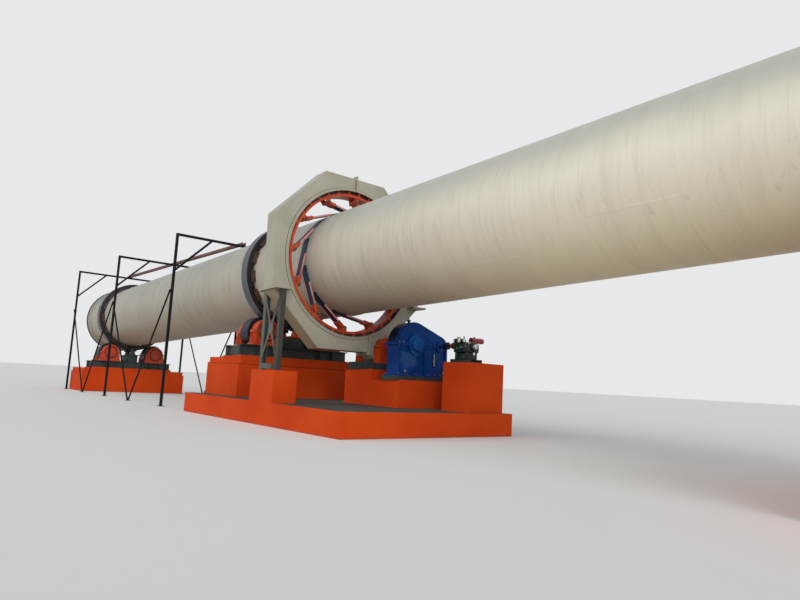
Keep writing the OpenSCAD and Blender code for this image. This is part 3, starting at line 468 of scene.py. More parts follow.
def plain_floor():
    """Matt and pale, and a little paler where it is looked at than where it lights the kiln."""
    t = FinishTree("stage_floor")
    rays = t.add("ShaderNodeLightPath").outputs
    seen = t.math("MAXIMUM", rays["Is Camera Ray"], rays["Is Glossy Ray"])
    seen = t.math("MAXIMUM", seen, rays["Is Transmission Ray"])
    colour = t.mix(seen, (0.70, 0.68, 0.63), (0.88, 0.88, 0.87))
    return t.close(colour, 0.9)


FINISHES = {}


def make_finishes(paints):
    """Every finish by the name that nodes and pieces ask for."""
    housing = dict(paint=paints["primer"], worn=(0.43, 0.036, 0.008), grime=(0.05, 0.02, 0.012))
    leg_shade = ((2.10, -2.0, 0.0), (2.4, 2.0, 3.0), (0.028, 0.024, 0.018), 0.75)
    # Painted shade and a painted dark reflection on the gearbox's upper shoulder
    shoulder_shade_and_reflection = ((2.5, 0.2, 1.42), (2.98, 0.62, 2.0), (0.003, 0.005, 0.012), 0.95)
    cap_disc = ((3.00, 0.54, 1.30), (3.3, 0.78, 1.52), (0.006, 0.110, 0.420), 0.55)
    # A painted highlight on the lower part of the gearbox case
    case_painted_highlight = ((3.0, 0.34, 1.02), (3.3, 0.68, 1.27), (0.070, 0.160, 0.360), 0.32)
    fan_side = ((3.70, 1.0, 1.20), (3.88, 1.5, 1.60), (0.008, 0.009, 0.009), 0.85)
    gearbox_end = ((3.0, 1.0, 1.2), (3.31, 1.4, 1.6), (0.002, 0.018, 0.080), 1.0)
    FINISHES.update({
        "drum": drum_paint(paints["drum"], paints["drum_clean"]),
        "tyre": tyre_steel(),
        "block": block_paint(paints["blocks"]),
        "spring": spring_paint(paints["springs"]),
        "gear": gear_primer(paints["primer"]),
        "housing": worn_paint("housing_paint", **housing, gloss=0.42, grime_reach=0.6,
                              chips=0.5, dust=0.2),
        "primer": worn_paint("pink_primer", paints["edges"], (0.48, 0.17, 0.16),
                             (0.20, 0.06, 0.05), gloss=0.5, grime_reach=0.4, patch=9.0),
        "cover": worn_paint("cover_paint", paints["cover"], (0.335, 0.315, 0.245),
                            (0.19, 0.15, 0.10), gloss=0.42, grime_reach=0.32, patch=1.6,
                            dust=0.5, below=(0.42, 0.30, 0.18)),
        "leg": worn_paint("leg_paint", paints["leg"], (0.085, 0.092, 0.078),
                          (0.05, 0.042, 0.034), gloss=0.5, grime_reach=0.4, chips=0.4,
                          shine=0.2, areas=(leg_shade,)),
        "frame": worn_paint("frame_paint", paints["frames"], (0.030, 0.036, 0.034),
                            (0.020, 0.016, 0.014), gloss=0.5, grime_reach=0.55, dust=0.35,
                            chips=0.6, shine=0.25),
        "seal": worn_paint("seal_paint", (0.014, 0.012, 0.012), (0.025, 0.020, 0.018),
                           (0.05, 0.02, 0.012), gloss=0.45, grime_reach=0.6, dust=0.1),
        "gearbox": worn_paint("gearbox_paint", paints["gearbox"], (0.001, 0.030, 0.150),
                              (0.004, 0.010, 0.030), gloss=0.34, grime_reach=0.35, dust=0.05,
                              chips=0.25, shine=0.12, areas=(shoulder_shade_and_reflection, cap_disc, case_painted_highlight)),
        "motor": worn_paint("motor_paint", paints["motor"], (0.008, 0.05, 0.17),
                            (0.01, 0.02, 0.04), gloss=0.35, coat=0.2, dust=0.3),
        "engine": worn_paint("engine_paint", paints["engine"], (0.007, 0.030, 0.016),
                             (0.010, 0.010, 0.009), gloss=0.36, grime_reach=0.85, dust=0.2,
                             chips=0.9, patch=9.0, areas=(fan_side,)),
        "tank": worn_paint("tank_paint", paints["tank"], (0.26, 0.008, 0.018),
                           (0.10, 0.02, 0.02), gloss=0.26, coat=0.4, grime_reach=0.3,
                           dust=0.15),
        "coupling": worn_paint("coupling_paint", paints["coupling"], (0.30, 0.016, 0.014),
                               (0.06, 0.02, 0.018), gloss=0.4, grime_reach=0.5, chips=0.4,
                               dust=0.15, areas=(gearbox_end,)),
        "portal": worn_paint("portal_paint", paints["portals"], (0.012, 0.013, 0.014),
                             (0.035, 0.02, 0.014), gloss=0.6, grime_reach=0.25, dust=0.12,
                             shine=0.1),
        "ridge": worn_paint("ridge_primer", paints["ridge"], (0.11, 0.040, 0.034),
                            (0.06, 0.03, 0.03), gloss=0.55, grime_reach=0.5, dust=0.3),
        "pads": bare_steel("pad_steel", (0.055, 0.032, 0.025), (0.08, 0.042, 0.030),
                           (0.14, 0.05, 0.025), gloss=0.6, metallic=0.25, rusty=0.6),
        "roller": bare_steel("roller_steel", (0.014, 0.020, 0.030), (0.008, 0.011, 0.017),
                             (0.05, 0.02, 0.014), metallic=0.1, rusty=0.25, shine=0.25),
        "pinion": bare_steel("pinion_steel", (0.20, 0.12, 0.09), (0.13, 0.06, 0.04),
                             (0.18, 0.06, 0.03), gloss=0.42, metallic=0.6),
        "bolt": bare_steel("bolt_steel", (0.14, 0.13, 0.12), (0.08, 0.07, 0.06),
                           (0.13, 0.06, 0.035), gloss=0.42, metallic=0.6, rusty=0.5),
        "bright": bare_steel("bright_steel", (0.55, 0.58, 0.56), (0.42, 0.45, 0.43),
                             (0.25, 0.16, 0.10), gloss=0.3, metallic=0.8, rusty=0.12),
    })
    glass = FinishTree("gauge_glass")
    glass.shader.inputs["Transmission Weight"].default_value = 0.6
    FINISHES["glass"] = glass.close((0.60, 0.45, 0.18), 0.08)


# The first start that a node's name has gives its finish
NODE_FINISHES = (
    ("kiln_shell", "drum"), ("tyre_pads", "pads"), ("tyre_", "tyre"), ("girth_gear", "gear"),
    ("spring_plates", "spring"), ("roller_housings", "housing"), ("roller_", "roller"),
    ("base_frame", "frame"), ("pier_", "block"), ("main_foundation", "block"),
    ("cover_leg", "leg"), ("cover_", "cover"), ("pinion_coupling", "coupling"),
    ("pinion_housings", "housing"), ("pinion_frame", "frame"), ("pinion", "pinion"),
    ("gearbox_frame", "frame"), ("gearbox", "gearbox"), ("motor", "motor"),
    ("engine_tank", "tank"), ("engine_coupling", "coupling"), ("engine", "engine"),
    ("portal_ridge", "ridge"), ("portal_", "portal"),
)


# ---------------------------------------------------------------- shapes

def piece(name, bm, finish, body):
    """Turns a bmesh into a finished object that rides on a body."""
    bmesh.ops.remove_doubles(bm, verts=bm.verts, dist=1e-6)
    bmesh.ops.recalc_face_normals(bm, faces=bm.faces)
    mesh = bpy.data.meshes.new(name)
    bm.to_mesh(mesh)
    bm.free()
    obj = bpy.data.objects.new(name, mesh)
    bpy.context.scene.collection.objects.link(obj)
    mesh.materials.append(FINISHES[finish])
    mesh.shade_smooth()
    mesh.set_sharp_from_angle(angle=SHARP)
    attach(obj, body)
    return obj


def drum_of(bm, place, radius, depth, segments=24, end_radius=None):
    """A closed cylinder or cone that stands on its place and runs along its Z axis."""
    bmesh.ops.create_cone(
        bm, cap_ends=True, cap_tris=False, segments=segments, radius1=radius,
        radius2=radius if end_radius is None else end_radius, depth=depth,
        matrix=raised(place, depth / 2))


def bolt(bm, place, radius, height=None, stud=True):
    """A hexagon head on its washer with the stud's end showing."""
    height = height or radius * 0.9
    drum_of(bm, raised(place, -BITE), radius * 1.4, WASHER + BITE, 14)
    drum_of(bm, raised(place, 0.0015), radius, height, 6, radius * 0.95)
    if stud:
        drum_of(bm, raised(place, height * 0.5), radius * 0.5, height * 0.9, 8)


def bolt_circle(count):
    """The (y, z) directions of bolts round a circle, half a step off the first axis."""
    for k in range(count):
        a = 2 * math.pi * (k + 0.5) / count
        yield math.cos(a), math.sin(a)


def edges_of(verts):
    """The edges at some vertices, each once and always in the same order."""
    return list(dict.fromkeys(edge for vert in verts for edge in vert.link_edges))


def block(bm, place, size, bevel=0.0):
    """A bevelled block that is centred on its place."""
    made = bmesh.ops.create_cube(bm, size=1.0, matrix=place @ Matrix.Diagonal((*size, 1.0)))
    if bevel:
        bmesh.ops.bevel(bm, geom=edges_of(made["verts"]), offset=bevel, offset_type="OFFSET",
                        segments=2, profile=0.5, affect="EDGES", material=-1)


def ring(bm, place, radius, thick, segments=40, sides=8):
    """A round bar bent to a ring in its place's XY plane."""
    start = place @ Matrix.Translation((radius, 0, 0)) @ Matrix.Rotation(QUARTER, 4, "X")
    made = bmesh.ops.create_circle(bm, cap_ends=False, segments=sides, radius=thick, matrix=start)
    axis = (place.to_3x3() @ Vector((0, 0, 1))).normalized()
    bmesh.ops.spin(bm, geom=made["verts"] + edges_of(made["verts"]), cent=place.translation,
                   axis=axis, angle=2 * math.pi, steps=segments, use_merge=True)


def hoop(bm, profile):
    """A closed section of (x, radius) corners spun round the kiln line."""
    verts = [bm.verts.new(KILN @ Vector((x, 0, r))) for x, r in profile]
    edges = [bm.edges.new(pair) for pair in zip(verts, verts[1:] + verts[:1])]
    bmesh.ops.spin(bm, geom=verts + edges, cent=KILN.translation, axis=AXIS,
                   angle=2 * math.pi, steps=HOOP_STEPS, use_merge=True)


def flat_hoop(bm, x0, x1, inner, outer):
    """A ring of rectangular section round the kiln line."""
    hoop(bm, ((x0, inner), (x0, outer), (x1, outer), (x1, inner)))


def at_angle(x, radius, angle, run=0.0):
    """A place at an angle round the kiln line: Y points outwards and Z runs round it."""
    return (KILN @ Matrix.Translation((x, 0, 0)) @ Matrix.Rotation(angle, 4, "X")
            @ Matrix.Translation((0, radius, run)))


def tube(bm, points, radius, sides=10):
    """A pipe along straight runs with a ball at each turn."""
    for start, end in zip(points, points[1:]):
        start, end = Vector(start), Vector(end)
        run = end - start
        drum_of(bm, facing(start, run, LEVEL), radius, run.length, sides)
    for point in points[1:-1]:
        bmesh.ops.create_uvsphere(bm, u_segments=sides, v_segments=6, radius=radius * 1.02,
                                  matrix=Matrix.Translation(point))


# ---------------------------------------------------------------- settings

class KilnSizes(PropertyGroup):
    bolt: FloatProperty(name="Bolt size", description="Radius of the larger hexagon heads",
                        default=0.013, min=0.004, max=0.03, unit="LENGTH")
    course: FloatProperty(name="Plate course",
                          description="Length of one rolled course of the drum",
                          default=1.0, min=0.4, max=2.0, unit="LENGTH")
    bead: FloatProperty(name="Weld bead", description="Width of the weld beads on the drum",
                        default=0.012, min=0.004, max=0.04, unit="LENGTH")
    gear_ribs: IntProperty(name="Gear ribs", description="Ribs round each side of the girth gear",
                           default=36, min=12, max=72)
    flange_bolts: IntProperty(name="Flange bolts",
                              description="Bolts along each side of a cover flange",
                              default=5, min=2, max=12)
    cap_bolts: IntProperty(name="Cap bolts", description="Bolts round each bearing cap",
                           default=8, min=4, max=16)


def paint_setting(name, description, default):
    """A colour that the sidebar shows."""
    return FloatVectorProperty(name=name, description=description, default=default,
                               subtype="COLOR", min=0.0, max=1.0)


class KilnColours(PropertyGroup):
    drum: paint_setting("Drum", "Cream paint on the drum", (0.61, 0.58, 0.48))
    # Lighter paint at the upper end of the drum: partly clean paint, partly painted light
    drum_clean: paint_setting("Clean drum", "Cream paint at the upper end", (0.83, 0.79, 0.66))
    primer: paint_setting("Primer", "Gear, lugs and bearing housings", (0.56, 0.060, 0.011))
    edges: paint_setting("Spring edges", "Primer on the spring plates' edges", (0.60, 0.27, 0.26))
    springs: paint_setting("Springs", "Paint on the spring plates", (0.012, 0.040, 0.095))
    blocks: paint_setting("Blocks", "Paint on the piers and the slab", (0.63, 0.066, 0.006))
    cover: paint_setting("Cover", "Paint on the gear cover", (0.385, 0.370, 0.295))
    leg: paint_setting("Leg", "Paint on the cover's leg", (0.125, 0.138, 0.118))
    frames: paint_setting("Frames", "Paint on the steel frames", (0.042, 0.058, 0.052))
    gearbox: paint_setting("Gearbox", "Paint on the gearbox", (0.002, 0.046, 0.235))
    motor: paint_setting("Motor", "Paint on the main motor", (0.01, 0.07, 0.23))
    engine: paint_setting("Engine", "Paint on the auxiliary engine", (0.010, 0.062, 0.026))
    tank: paint_setting("Tank", "Paint on the engine's tank", (0.42, 0.010, 0.026))
    coupling: paint_setting("Couplings", "Paint on the couplings", (0.42, 0.028, 0.024))
    portals: paint_setting("Portals", "Paint on the portal frames", (0.006, 0.008, 0.009))
    ridge: paint_setting("Ridge", "Primer on the ridge bar", (0.15, 0.050, 0.038))


class KilnStage(PropertyGroup):
    key_light: FloatProperty(name="Key light",
                             description="Strength of the soft light over the drum",
                             default=0.95, min=0.0, max=5.0)
    fill_light: FloatProperty(name="Fill light",
                              description="Strength of the light from the front",
                              default=2.8, min=0.0, max=5.0)
    sky: FloatProperty(name="Sky", description="Strength of the light from all round",
                       default=0.36, min=0.0, max=2.0)
    lens: FloatProperty(name="Lens", description="Focal length of the camera in millimetres",
                        default=28.674, min=10.0, max=100.0)
    camera_place: FloatVectorProperty(name="Camera place", description="Where the camera stands",
                                      default=(10.992, -6.235, 0.771), subtype="TRANSLATION",
                                      unit="LENGTH")
    camera_turn: FloatVectorProperty(name="Camera turn", description="Heading, tilt and roll",
                                     default=(math.radians(39.373), math.radians(7.266),
                                              math.radians(-3.107)), subtype="EULER")


# ---------------------------------------------------------------- operators

class KILN_OT_finishes(Operator):
    """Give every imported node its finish"""
    bl_idname = "kiln.finishes"
    bl_label = "Finishes"

    def execute(self, context):
        colours = context.scene.kiln_colours
        make_finishes({name: tuple(getattr(colours, name)) for name in KilnColours.__annotations__})
        for name, obj in frame["nodes"].items():
            finish = next((f for start, f in NODE_FINISHES if name.startswith(start)), None)
            if finish is None:
                raise RuntimeError(f"no finish is named for {name}")
            if not obj.material_slots:
                obj.data.materials.append(FINISHES[finish])
            for place in obj.material_slots:
                place.material = FINISHES[finish]
        return {"FINISHED"}


class KILN_OT_drum_welds(Operator):
    """Weld beads round the drum and along its plates"""
    bl_idname = "kiln.drum_welds"
    bl_label = "Drum welds"

    def execute(self, context):
        sizes = context.scene.kiln_sizes
        bm = bmesh.new()
        draw = random.Random(7)
        x, last = DRUM_ENDS[0] + 0.55, DRUM_ENDS[1] - 0.4
        places = []
        while x < last:
            places.append(x)
            x += sizes.course
        edge, crown, half = DRUM_RADIUS - 0.003, DRUM_RADIUS + 0.0018, sizes.bead / 2
        thick_course, seam_room = 0.21, 0.25
        carried = (*STATIONS.values(), GEAR_X)
        for x in places:
            under_tyre = any(abs(x - s) < thick_course for s in STATIONS.values())
            if not under_tyre and abs(x - GEAR_X) >= GEAR_HALF:
                hoop(bm, ((x - half, edge), (x - half / 2, crown), (x + half / 2, crown),
                          (x + half, edge)))
        for start, end in zip(places, places[1:]):
            angle = draw.uniform(0, 2 * math.pi)
            if any(start - seam_room < s < end + seam_room for s in carried):
                continue
            seam = at_angle((start + end) / 2, DRUM_RADIUS - 0.001, angle)
            block(bm, seam, (end - start, 0.0045, sizes.bead), 0.0016)
        piece("drum_welds", bm, "drum", "drum")
        return {"FINISHED"}


class KILN_OT_spring_fittings(Operator):
    """End blocks, pin nuts, edge bars and rivets of the spring plates"""
    bl_idname = "kiln.spring_fittings"
    bl_label = "Spring fittings"

    def plate_end(self, ends, nuts, root):
        """The block and eye that hold a plate's end to its pin, with four bolts through them."""
        middle = at_angle(GEAR_X, SPRING_LINE, root, SPRING_RUN - 0.078)
        block(ends, middle, (SPRING_END_WIDTH, 0.058, 0.160), 0.009)
        eye = at_angle(GEAR_X - SPRING_END_WIDTH / 2, SPRING_LINE, root, SPRING_RUN)
        drum_of(ends, eye @ Matrix.Rotation(QUARTER, 4, "Y"), 0.037, SPRING_END_WIDTH, 28)
        half_thick = 0.029
        for run in (0.075, 0.130):
            for x in (-0.045, 0.045):
                for out in SIDES:
                    face = at_angle(GEAR_X + x, SPRING_LINE + out * half_thick, root,
                                    SPRING_RUN - run)
                    bolt(nuts, face @ Matrix.Rotation(-out * QUARTER, 4, "X"), 0.010, stud=out > 0)

    def pin_nuts(self, nuts, angle):
        """Washer, nut and pin end on both faces of the gear's lugs."""
        y, z = SPRING_PIN_CIRCLE * math.cos(angle), SPRING_PIN_CIRCLE * math.sin(angle)
        for side in SIDES:
            face = facing((GEAR_X + side * 0.0955, y, z), (side, 0, 0))
            drum_of(nuts, face, 0.031, 0.004, 16)
            drum_of(nuts, raised(face, 0.003), 0.026, 0.014, 6, 0.025)
            drum_of(nuts, raised(face, 0.015), 0.013, 0.010, 12, 0.011)

    def execute(self, context):
        ends, bars, nuts, rivets = bmesh.new(), bmesh.new(), bmesh.new(), bmesh.new()
        tangent = math.acos(SPRING_LINE / SPRING_PIN_CIRCLE)
        for k in range(SPRING_COUNT):
            angle = math.radians(360 / SPRING_COUNT * k + SPRING_START)
            root = angle - tangent
            self.plate_end(ends, nuts, root)
            for x in (-0.0714, 0.0714):
                edge = at_angle(GEAR_X + x, SPRING_LINE, root, 0.325)
                block(bars, edge, (0.0104, 0.030, 0.375), 0.002)
            self.pin_nuts(nuts, angle)
            for step in (1.2, 4.2, 7.2):
                for x in (-0.05, 0.0, 0.05):
                    top = at_angle(GEAR_X + x, DRUM_RADIUS + 0.0115, root - math.radians(step))
                    out = top @ Matrix.Rotation(-QUARTER, 4, "X")
                    drum_of(rivets, out, 0.009, 0.005, 10, 0.005)
        piece("spring_ends", ends, "housing", "drum")
        piece("spring_edge_bars", bars, "primer", "drum")
        piece("spring_nuts", nuts, "bolt", "drum")
        piece("spring_rivets", rivets, "bolt", "drum")
        return {"FINISHED"}


class KILN_OT_gear_ribs(Operator):
    """Inner rims and radial ribs on both sides of the girth gear"""
    bl_idname = "kiln.gear_ribs"
    bl_label = "Gear ribs"

    def execute(self, context):
        bm = bmesh.new()
        count = context.scene.kiln_sizes.gear_ribs
        for side in SIDES:
            face = GEAR_X + side * GEAR_HALF
            flat_hoop(bm, face - side * BITE, face + side * 0.013,
                      GEAR_INSIDE + BITE, GEAR_INSIDE + 0.040)
            for k in range(count):
                angle = 2 * math.pi * (k + 0.5) / count
                rib = at_angle(face + side * 0.006, GEAR_INSIDE + 0.090, angle)
                block(bm, rib, (0.013, 0.110, 0.036), 0.003)
        piece("gear_ribs", bm, "housing", "drum")
        return {"FINISHED"}


class KILN_OT_bearing_fittings(Operator):
    """Cap bolts, joint bolts, foot bolts and lifting rings of the bearing housings"""
    bl_idname = "kiln.bearing_fittings"
    bl_label = "Bearing fittings"

    def joint_bolts(self, bolts, centre, radius, half, size):
        """Two bolts on each shoulder, which hold the housing's upper half down."""
        x, y, z = centre
        reach, shoulder = radius + 0.019, 0.018
        for dy in SIDES:
            for dx in (-0.5, 0.5):
                spot = (x + dx * half, y + dy * reach, z + shoulder)
                bolt(bolts, facing(spot, UP), size * 0.9, size * 1.2)

    def lifting_ring(self, rings, centre, radius):
        """A ring that stands on the housing's crown."""
        x, y, z = centre
        crown = facing((x, y, z + radius + 0.026), (0, 1, 0)) @ Matrix.Translation((0, 0.016, 0))
        ring(rings, crown, 0.020, 0.0055, 20, 8)

    def housing(self, parts, centre, side, size, count, radius, half, cap, foot):
        """Small parts of one housing whose cap looks towards side."""
        bolts, rings, seals = parts
        x, y, z = centre
        foot_level, foot_reach = foot
        face_x = x + side * (half + cap)
        out = (side, 0, 0)
        for dy, dz in bolt_circle(count):
            spot = (face_x, y + 0.57 * radius * dy, z + 0.57 * radius * dz)
            bolt(bolts, facing(spot, out), size * 0.6, stud=False)
        ring(seals, facing((face_x - side * cap, y, z), out), radius * 0.78, 0.008, 48, 6)
        ring(rings, facing((face_x - side * 0.001, y, z), out), radius * 0.655, 0.005, 40, 6)
        for inset in (0.70, 0.42):
            ring(seals, facing((face_x + side * BITE, y, z), out), radius * inset, 0.007, 40, 6)
        bolt(bolts, facing((face_x + side * 0.0095, y, z), out), size * 0.8, stud=False)
        self.joint_bolts(bolts, centre, radius, half, size)
        for dy in SIDES:
            for dx in (-0.8, 0.0, 0.8):
                spot = (x + dx * half, y + dy * foot_reach, z + foot_level + 0.034)
                bolt(bolts, facing(spot, UP), size)
        self.lifting_ring(rings, centre, radius)

    def finish(self, parts, name):
        """Makes the three pieces of a group of housings."""
        kinds = (("bolts", "bolt"), ("rings", "housing"), ("seals", "seal"))
        for bm, (kind, finish) in zip(parts, kinds):
            piece(name.format(kind), bm, finish, "root")

    def execute(self, context):
        sizes = context.scene.kiln_sizes
        for station, x in STATIONS.items():
            parts = bmesh.new(), bmesh.new(), bmesh.new()
            for side_y in SIDES:
                for side in SIDES:
                    centre = (x + side * BEARING_STEP, side_y * ROLLER[0], ROLLER[1])
                    self.housing(parts, centre, side, sizes.bolt, sizes.cap_bolts,
                                 **ROLLER_HOUSING)
            self.finish(parts, "housing_{}_" + station)
        parts = bmesh.new(), bmesh.new(), bmesh.new()
        size, count = 0.010, 6
        self.housing(parts, (GEAR_X - PINION_STEP, *PINION), -1, size, count, **PINION_HOUSING)
        inner, radius = (GEAR_X + PINION_STEP, *PINION), PINION_HOUSING["radius"]
        self.joint_bolts(parts[0], inner, radius, PINION_HOUSING["half"], size)
        self.lifting_ring(parts[1], inner, radius)
        self.finish(parts, "pinion_bearing_{}")
        return {"FINISHED"}


class KILN_OT_thrust_stands(Operator):
    """Guide rollers that hold a tyre endways, on stands between the support rollers"""
    bl_idname = "kiln.thrust_stands"
    bl_label = "Thrust stands"

    def stand(self, bm, x):
        """Two long sheets with cross ribs between them."""
        for y in (-0.125, 0.125):
            block(bm, on_kiln(x, y, STAND_LEVEL), (0.66, 0.022, 0.196), 0.004)
        for dx in (-0.30, -0.10, 0.10, 0.30):
            block(bm, on_kiln(x + dx, 0, STAND_LEVEL), (0.018, 0.236, 0.190), 0.003)

    def guide_roller(self, caps, discs, bolts, centre):
        """An upright roller beside the tyre, on its bearing and the bearing's bolts."""
        foot = facing((centre, 0, GUIDE_FOOT), UP)
        drum_of(caps, foot, 0.088, 0.085, 32, 0.070)
        drum_of(caps, raised(foot, 0.084), 0.060, 0.026, 28)
        drum_of(discs, raised(foot, 0.108), 0.102, 0.010, 40, GUIDE_RADIUS)
        drum_of(discs, raised(foot, 0.117), GUIDE_RADIUS, 0.072, 40)
        drum_of(discs, raised(foot, 0.188), GUIDE_RADIUS, 0.010, 40, 0.098)
        circle = 0.104
        for dx, dy in bolt_circle(6):
            spot = (centre + circle * dx, circle * dy, GUIDE_FOOT + 0.001)
            bolt(bolts, facing(spot, UP), 0.009)

    def tray(self, bm):
        """An open sheet tray on the drive plinth, in front of the pinion's frame."""
        x, y, z = PINION_TRAY
        length, width, height, sheet = 0.62, 0.110, 0.140, 0.008
        block(bm, on_kiln(x, y, z + sheet / 2), (length, width, sheet), 0.002)
        for side in SIDES:
            end = on_kiln(x + side * (length - sheet) / 2, y, z + height / 2)
            block(bm, end, (sheet, width, height), 0.002)
            wall = on_kiln(x, y + side * (width - sheet) / 2, z + height / 2)
            block(bm, wall, (length, sheet, height), 0.002)

    def execute(self, context):
        for station, cap_paint in (("lower", "frame"), ("middle", "housing")):
            x = STATIONS[station]
            stand, caps, discs, bolts = bmesh.new(), bmesh.new(), bmesh.new(), bmesh.new()
            self.stand(stand, x)
            block(caps, on_kiln(x, 0, STAND_CAP), (0.72, 0.31, 0.030), 0.005)
            for side in SIDES:
                centre = x + side * (TYRE_HALF + GUIDE_GAP + GUIDE_RADIUS)
                self.guide_roller(caps, discs, bolts, centre)
            piece(f"thrust_stand_{station}", stand, "frame", "root")
            piece(f"thrust_bearings_{station}", caps, cap_paint, "root")
            piece(f"thrust_rollers_{station}", discs, "roller", "root")
            piece(f"thrust_bolts_{station}", bolts, "bolt", "root")
        tray = bmesh.new()
        self.tray(tray)
        piece("pinion_grease_tray", tray, "frame", "root")
        return {"FINISHED"}


class KILN_OT_frame_bolts(Operator):
    """Anchor bolts through the base frames and the portal feet"""
    bl_idname = "kiln.frame_bolts"
    bl_label = "Frame bolts"

    def execute(self, context):
        size = context.scene.kiln_sizes.bolt
        for station, x in STATIONS.items():
            bm = bmesh.new()
            for side in SIDES:
                for dx in (-0.06, 0.06):
                    for y in (-0.94, -0.66, -0.36, 0.36, 0.66, 0.94):
                        spot = (x + side * BEARING_STEP + dx, y, -FRAME_DROP + 0.016)
                        bolt(bm, facing(spot, UP), size * 1.15)
            piece(f"anchor_bolts_{station}", bm, "bolt", "root")
        feet = bmesh.new()
        reach, top = PORTAL_PLATE
        for x in PORTAL_X:
            for y in PORTAL_Y:
                for dx in (-reach, reach):
                    for dy in (-reach, reach):
                        bolt(feet, Matrix.Translation((x + dx, y + dy, top)), size * 0.5)
        piece("portal_foot_bolts", feet, "bolt", "root")
        return {"FINISHED"}


class KILN_OT_cover_bolts(Operator):
    """Bolts along the flanges that join the cover's four sections"""
    bl_idname = "kiln.cover_bolts"
    bl_label = "Cover bolts"

    def pair(self, bm, spot, direction):
        """Head and nut on both faces of a flange joint."""
        out, radius = Vector(direction), 0.008
        bolt(bm, facing(Vector(spot) + out * COVER_JOINT_HALF, out), radius, stud=False)
        bolt(bm, facing(Vector(spot) - out * COVER_JOINT_HALF, -out), radius)

    def execute(self, context):
        count = context.scene.kiln_sizes.flange_bolts
        bm = bmesh.new()
        reach = COVER_HALF + COVER_FLANGE / 2
        flat = COVER_FLAT + COVER_FLANGE / 2
        across, row, inset = (0, 1, 0), 8, 0.03
        for k in range(count):
            t = (k + 0.5) / count
            top, bottom, x = 1.30 + 0.21 * t, -1.52 + 0.26 * t, GEAR_X - 0.13 + 0.26 * t
            for side in SIDES:
                self.pair(bm, (GEAR_X + side * reach, 0, top), across)
                self.pair(bm, (GEAR_X + side * reach, PINION_JOINT_Y, bottom), across)
            self.pair(bm, (x, 0, flat), across)
            self.pair(bm, (x, PINION_JOINT_Y, -flat), across)
        low, high = COVER_FLANGE_X
        for side in SIDES:
            for k in range(row):
                x = low + inset + (high - low - 2 * inset) * k / (row - 1)
                self.pair(bm, (x, side * flat, COVER_SPLIT), UP)
        piece("cover_flange_bolts", bm, "bolt", "root")
        return {"FINISHED"}


class KILN_OT_cover_rims(Operator):
    """Stiffening rings round the cover's openings, with a thin dark ring round each as painted
    shadow at its edge
    """
    bl_idname = "kiln.cover_rims"
    bl_label = "Cover rims"

    def execute(self, context):
        rims, joints = bmesh.new(), bmesh.new()
        for side in SIDES:
            face = GEAR_X + side * COVER_HALF
            inside = face - side * 0.001
            flat_hoop(rims, inside, face + side * 0.009,
                      COVER_OPENING + 0.004, COVER_OPENING + 0.046)
            # A thin dark ring just outside each rim: painted shadow at the rim's edge
            flat_hoop(joints, inside, face + side * 0.002,
                      COVER_OPENING + 0.045, COVER_OPENING + 0.052)
        piece("cover_rims", rims, "cover", "root")
        piece("cover_rim_joints", joints, "seal", "root")
        return {"FINISHED"}


